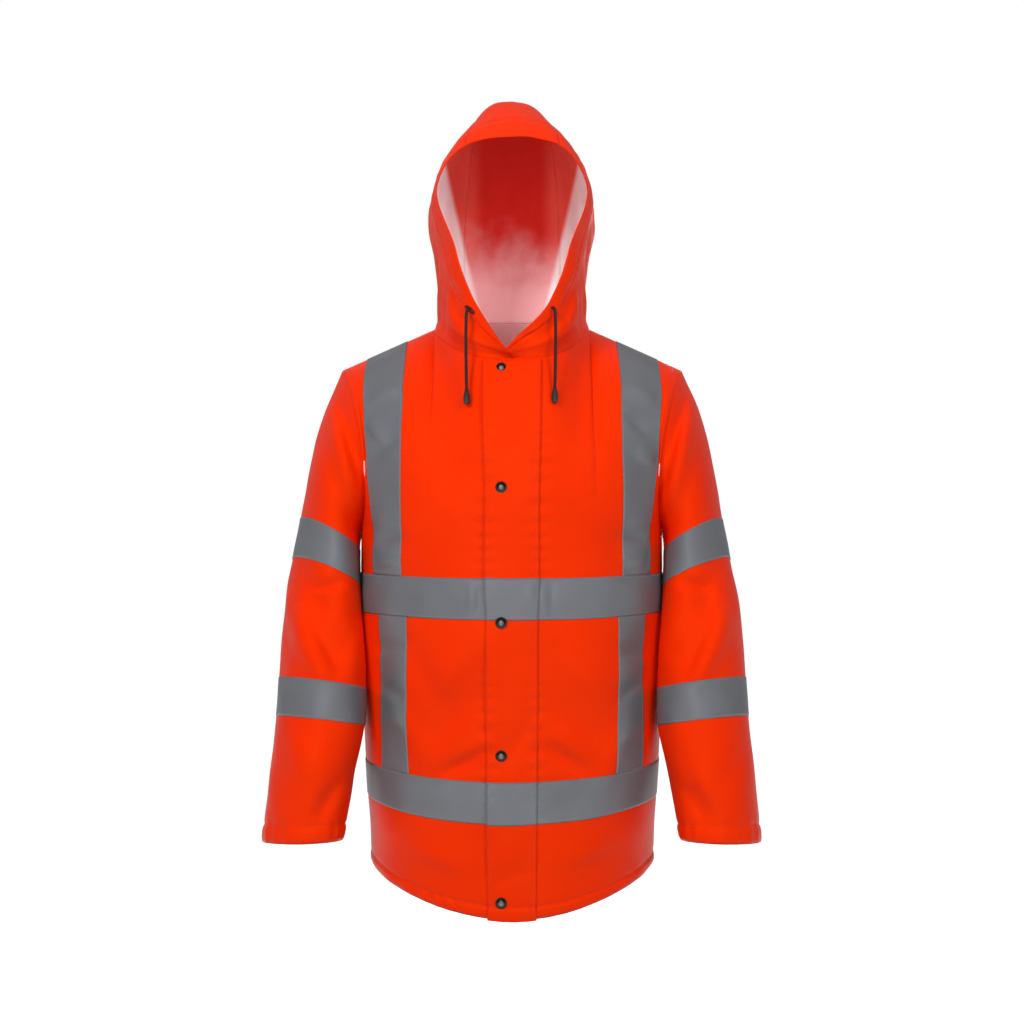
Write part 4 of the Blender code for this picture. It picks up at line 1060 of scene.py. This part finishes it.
def make_sleeves():
    """Sleeves and their tapes."""
    around = np.linspace(180, -180, 108, endpoint=False)
    stops = (0.0, 0.35, 0.45, 0.72, 0.80, 1 - HEM_DEPTH / SLEEVE_LENGTH, 1.0)
    along = lines(stops, [(b - a) * SLEEVE_LENGTH for a, b in zip(stops, stops[1:])])
    for name, side in (("right", -1), ("left", 1)):
        for label, edges in (("", (0.0, 1.0)), ("upper", SLEEVE_TAPES[0]), ("lower", SLEEVE_TAPES[1])):
            rows = along[(along > edges[0] - 1e-6) & (along < edges[1] + 1e-6)]
            grid = sleeve(side, rows[:, None], around[None, :])
            grid = grid[:, ::-1] if side > 0 else grid
            if not label:
                cloth_piece(f"sleeve_{name}_panel", grid, [f"sleeve_{name}"], closed=True)
            else:
                grid = grid + grid_normals(grid, True) * TAPE_LIFT
                tape_piece(f"sleeve_tape_{label}_{name}", grid, closed=True)


def make_hood():
    """The hood's centre and side panels."""
    seam = 1 - BROW_PLACE
    back = lines((0.0, CASING, 1.0), (0.030, 0.30))
    spans = {"right": (-1.0, -seam), "centre": (-seam, seam), "left": (seam, 1.0)}
    for name, (first, last) in spans.items():
        around = lines((first, last), [(last - first) * 0.42])
        grid = hood(back[:, None], around[None, :])
        cloth_piece(f"hood_{name}_panel", grid, [f"hood_{name}"], reverse="hood_reverse_painted_light")


def turned_piece(name, profile, steps, finish):
    """Turned piece on the Z axis from a profile of radius and height, top to bottom."""
    bpy.ops.object.select_all(action="DESELECT")
    mesh = bpy.data.meshes.new(name)
    mesh.from_pydata([(r, 0, z) for r, z in profile], [(k, k + 1) for k in range(len(profile) - 1)], [])
    made = link(name, mesh, [finish])
    screw = made.modifiers.new("turn", "SCREW")
    screw.steps = screw.render_steps = steps
    screw.use_merge_vertices = True
    screw.merge_threshold = 0.00001
    screw.use_smooth_shade = True
    bpy.context.view_layer.objects.active = made
    made.select_set(True)
    bpy.ops.object.modifier_apply(modifier="turn")
    bpy.ops.object.shade_smooth_by_angle(angle=math.radians(40))
    return made


def place_piece(made, location, rotation=(0, 0, 0)):
    """Put a piece in its place and leave its object at the origin."""
    bpy.ops.object.select_all(action="DESELECT")
    made.location = location
    made.rotation_euler = rotation
    made.select_set(True)
    bpy.context.view_layer.objects.active = made
    bpy.ops.object.transform_apply(location=True, rotation=True, scale=True)
    made.select_set(False)


def make_snaps():
    """Domed snap caps, each where its solid sits."""
    arc = [(0.0058 * math.sin(math.radians(a)), 0.0009 + 0.0023 * math.cos(math.radians(a)))
           for a in range(0, 91, 10)]
    rim = [(0.0060, 0.0009), (0.0066, 0.0010), (0.0070, 0.0006), (0.0068, 0.0), (0.0, 0.0)]
    across = np.linspace(-6.5, 0.5, 141)
    for number, level in enumerate(SNAP_LEVELS, 1):
        rows = flap_grid(across, level + np.array([-0.0045, 0.0, 0.0045]))
        seat = rows[:, np.abs(rows[1, :, 0] - SNAP_X).argmin()]
        on_tape = any(low - 0.006 < level < high + 0.006 for low, high in (HEM_TAPE, WAIST_TAPE))
        lift = TAPE_LIFT + TAPE / 2 if on_tape else CLOTH / 2
        cap = turned_piece(f"snap_cap_{number}", arc + rim, 48, FINISH["snap"])
        place_piece(cap, (SNAP_X, seat[:, 1].min() - lift, level), (math.radians(90), 0, 0))
        # The middle of each dome takes a lighter nickel: a painted highlight where the dome would catch the
        # light.
        cap.data.materials.append(FINISH["snap_painted_highlight"])
        for face in cap.data.polygons:
            aside = math.hypot(face.center.x - SNAP_X, face.center.z - level)
            face.material_index = 1 if aside < PAINTED_HIGHLIGHT_RADIUS else 0
        settle(cap, "snap_metal", f"snap_{number}")


def make_cords():
    """The drawcord's free ends, with their buttonholes and bell-shaped ends."""
    for name, side in (("right", -1), ("left", 1)):
        route = (np.array(CORD_ROUTE) + np.array(CORD_SHIFTS[name])) * np.array([side, 1, 1])
        spots = through(np.linspace(0, 1, len(route)), route, np.linspace(0, 1, 40))
        bell = turned_piece(f"cord_bell_{name}",
                            [(0.0, 0.0003), (0.0020, 0.0), (0.0026, -0.0012), (0.0033, -0.0045),
                             (0.0039, -0.0080), (0.0041, -0.0115), (0.0038, -0.0150),
                             (0.0031, -0.0173), (0.0020, -0.018), (0.0, -0.018)], 32, FINISH["bell"])
        place_piece(bell, tuple(spots[-1] + np.array([0, 0, -0.0003])))
        settle(bell, "cord_end", f"cord_end_{name}")
        cord = cord_tube(f"drawcord_{name}_braid", spots)
        settle(cord, "drawcord", f"drawcord_{name}")
        bar = buttonhole(f"buttonhole_{name}_stitching", name)
        settle(bar, "buttonhole_thread", f"buttonhole_{name}")


def cord_tube(name, spots):
    """Braided tube along a route, its UV turns round and metres along."""
    sides = 14
    tangents = np.gradient(spots, axis=0)
    tangents /= np.linalg.norm(tangents, axis=1, keepdims=True)
    across = np.cross(tangents, np.array([1.0, 0.0, 0.0]))
    across /= np.linalg.norm(across, axis=1, keepdims=True)
    other = np.cross(tangents, across)
    turn = np.linspace(0, math.tau, sides, endpoint=False)
    ring = (across[:, None] * np.cos(turn)[None, :, None] + other[:, None] * np.sin(turn)[None, :, None])
    grid = spots[:, None] + ring * CORD_RADIUS
    run = np.concatenate([[0], np.cumsum(np.linalg.norm(np.diff(spots, axis=0), axis=1))])
    faces, flat = [], []
    for i in range(len(spots) - 1):
        for j in range(sides):
            k = (j + 1) % sides
            faces.append((i * sides + j, (i + 1) * sides + j, (i + 1) * sides + k, i * sides + k))
            flat += [(j / sides, run[i]), (j / sides, run[i + 1]),
                     ((j + 1) / sides, run[i + 1]), ((j + 1) / sides, run[i])]
    caps = [tuple(range(sides)), tuple(range(len(spots) * sides - 1, (len(spots) - 1) * sides - 1, -1))]
    mesh = bpy.data.meshes.new(name)
    mesh.from_pydata(grid.reshape(-1, 3).tolist(), [], faces + caps)
    layer = mesh.uv_layers.new(name="cut")
    layer.data.foreach_set("uv", np.array(flat + [(0.5, 0.0)] * (2 * sides)).reshape(-1))
    mesh.shade_smooth()
    return link(name, mesh, [FINISH["cord"]])


def buttonhole(name, side):
    """Worked buttonhole: a flat oval ring of thread round a dark slit."""
    source = bpy.data.objects[f"buttonhole_{side}"]
    spots = np.array([tuple(v.co) for v in source.data.vertices])
    centre = spots.mean(0)
    _, _, axes = np.linalg.svd(spots - centre)
    run, rise, out = axes
    out = out if out[1] < 0 else -out
    bpy.ops.object.select_all(action="DESELECT")
    bpy.ops.mesh.primitive_torus_add(major_radius=1.0, minor_radius=0.34, major_segments=48,
                                     minor_segments=10)
    made = bpy.context.active_object
    made.name = name
    mesh = made.data
    local = np.array([tuple(v.co) for v in mesh.vertices])
    ring = (local[:, :1] * run * 0.0064 + local[:, 1:2] * rise * 0.0022
            + local[:, 2:3] * out * 0.0016 + centre - out * 0.0003)
    mesh.vertices.foreach_set("co", ring.reshape(-1))
    mesh.materials.append(FINISH["thread"])
    mesh.shade_smooth()
    if np.dot(np.cross(run, rise), out) < 0:
        mesh.flip_normals()
    made.select_set(False)
    return made


# ---------------------------------------------------------------- studio


def make_studio():
    """Pale floor, soft lights and the camera."""
    bpy.ops.mesh.primitive_plane_add(size=24, location=(0, 0, -1.45))
    floor = bpy.context.active_object
    floor.name = "floor"
    finish, _, shader = principled("pale_floor")
    shader.inputs["Base Color"].default_value = srgb("#f7f7f7")
    shader.inputs["Roughness"].default_value = 0.9
    shader.inputs["Emission Color"].default_value = srgb("#ffffff")
    shader.inputs["Emission Strength"].default_value = 0.75
    floor.data.materials.append(finish)
    floor.visible_diffuse = False
    lamps = (
        ("key", (-1.2, -1.9, 1.15), 0.7, 43),
        ("fill", (1.2, -1.9, 0.85), 0.8, 24),
        ("front_sheen", (-0.25, -2.7, 0.25), 1.0, 14),
        ("top", (0.0, -0.4, 2.2), 1.2, 4),
        ("back_left", (-0.9, 2.1, 1.0), 0.7, 36),
        ("back_right", (0.9, 2.1, 0.8), 0.8, 24),
        ("back_sheen", (0.25, 2.7, 0.25), 1.0, 14),
    )
    for name, place, size, power in lamps:
        data = bpy.data.lights.new(name, "AREA")
        data.size = size
        data.energy = power
        lamp = bpy.data.objects.new(name, data)
        bpy.context.scene.collection.objects.link(lamp)
        lamp.location = place
        lamp.visible_glossy = name.endswith("sheen")
        lamp.rotation_euler = (Vector((0, 0, -0.25)) - Vector(place)).to_track_quat("-Z", "Y").to_euler()
    world = bpy.data.worlds.new("studio")
    bpy.context.scene.world = world
    world.use_nodes = True
    tree = world.node_tree
    axes = node(tree, "ShaderNodeSeparateXYZ", {}, _0=node(tree, "ShaderNodeTexCoord").outputs["Generated"])
    height = node(tree, "ShaderNodeMath", {"operation": "ABSOLUTE"}, _0=axes.outputs[2]).outputs[0]
    band = node(tree, "ShaderNodeMapRange", {"interpolation_type": "SMOOTHSTEP"}, Value=height)
    band.inputs["From Min"].default_value = 0.31
    band.inputs["From Max"].default_value = 0.55
    band.inputs["To Min"].default_value = 1.0
    band.inputs["To Max"].default_value = 0.10
    tree.nodes["Background"].inputs["Color"].default_value = (1, 1, 1, 1)
    seen = node(tree, "ShaderNodeLightPath").outputs["Is Camera Ray"]
    strength = node(tree, "ShaderNodeMapRange", {}, Value=seen)
    strength.inputs["To Min"].default_value = 0.36
    tree.links.new(band.outputs[0], strength.inputs["To Max"])
    tree.links.new(strength.outputs[0], tree.nodes["Background"].inputs["Strength"])
    camera_data = bpy.data.cameras.new("camera")
    camera_data.sensor_width = 36
    camera_data.lens = 36 * 2.2 / 1.324
    camera_data.clip_end = 60
    camera = bpy.data.objects.new("camera", camera_data)
    bpy.context.scene.collection.objects.link(camera)
    camera.location = (0.0, -2.2, -0.237)
    camera.rotation_euler = (math.radians(90), 0, 0)
    bpy.context.scene.camera = camera
    bpy.context.scene.view_settings.view_transform = "Standard"


FINISH = {
    "cloth": coated_polyester(),
    "reverse": knitted_reverse(),
    "hood_reverse_painted_light": hood_reverse_painted_light(),
    "orange_thread": plain_finish("spun_polyester_thread", "#c02000", "#e03608", 1500, 0.6),
    "grey_thread": plain_finish("grey_polyester_thread", "#5f6164", "#85888c", 1500, 0.6),
    "tape": glass_bead_tape(),
    "snap": plain_finish("gunmetal_brass", "#2a2625", "#3b3634", 300, 0.28, 1.0, 0.00005),
    # Lighter metal for the middle of each snap dome: a painted highlight.
    "snap_painted_highlight": plain_finish("nickel_with_painted_highlight", "#5c5b56", "#74726c", 300, 0.34, 0.85, 0.00005),
    "cord": braided_cord(),
    "bell": plain_finish("moulded_nylon", "#191413", "#241c1a", 200, 0.45),
    "thread": plain_finish("buttonhole_thread", "#2c0a06", "#451410", 900, 0.8),
}

bpy.ops.object.select_all(action="DESELECT")
make_studio()
make_cords()
make_fronts_and_back()
make_flap()
make_body_tapes()
make_sleeves()
make_hood()
make_snaps()
note_stitches()
make_stitching()
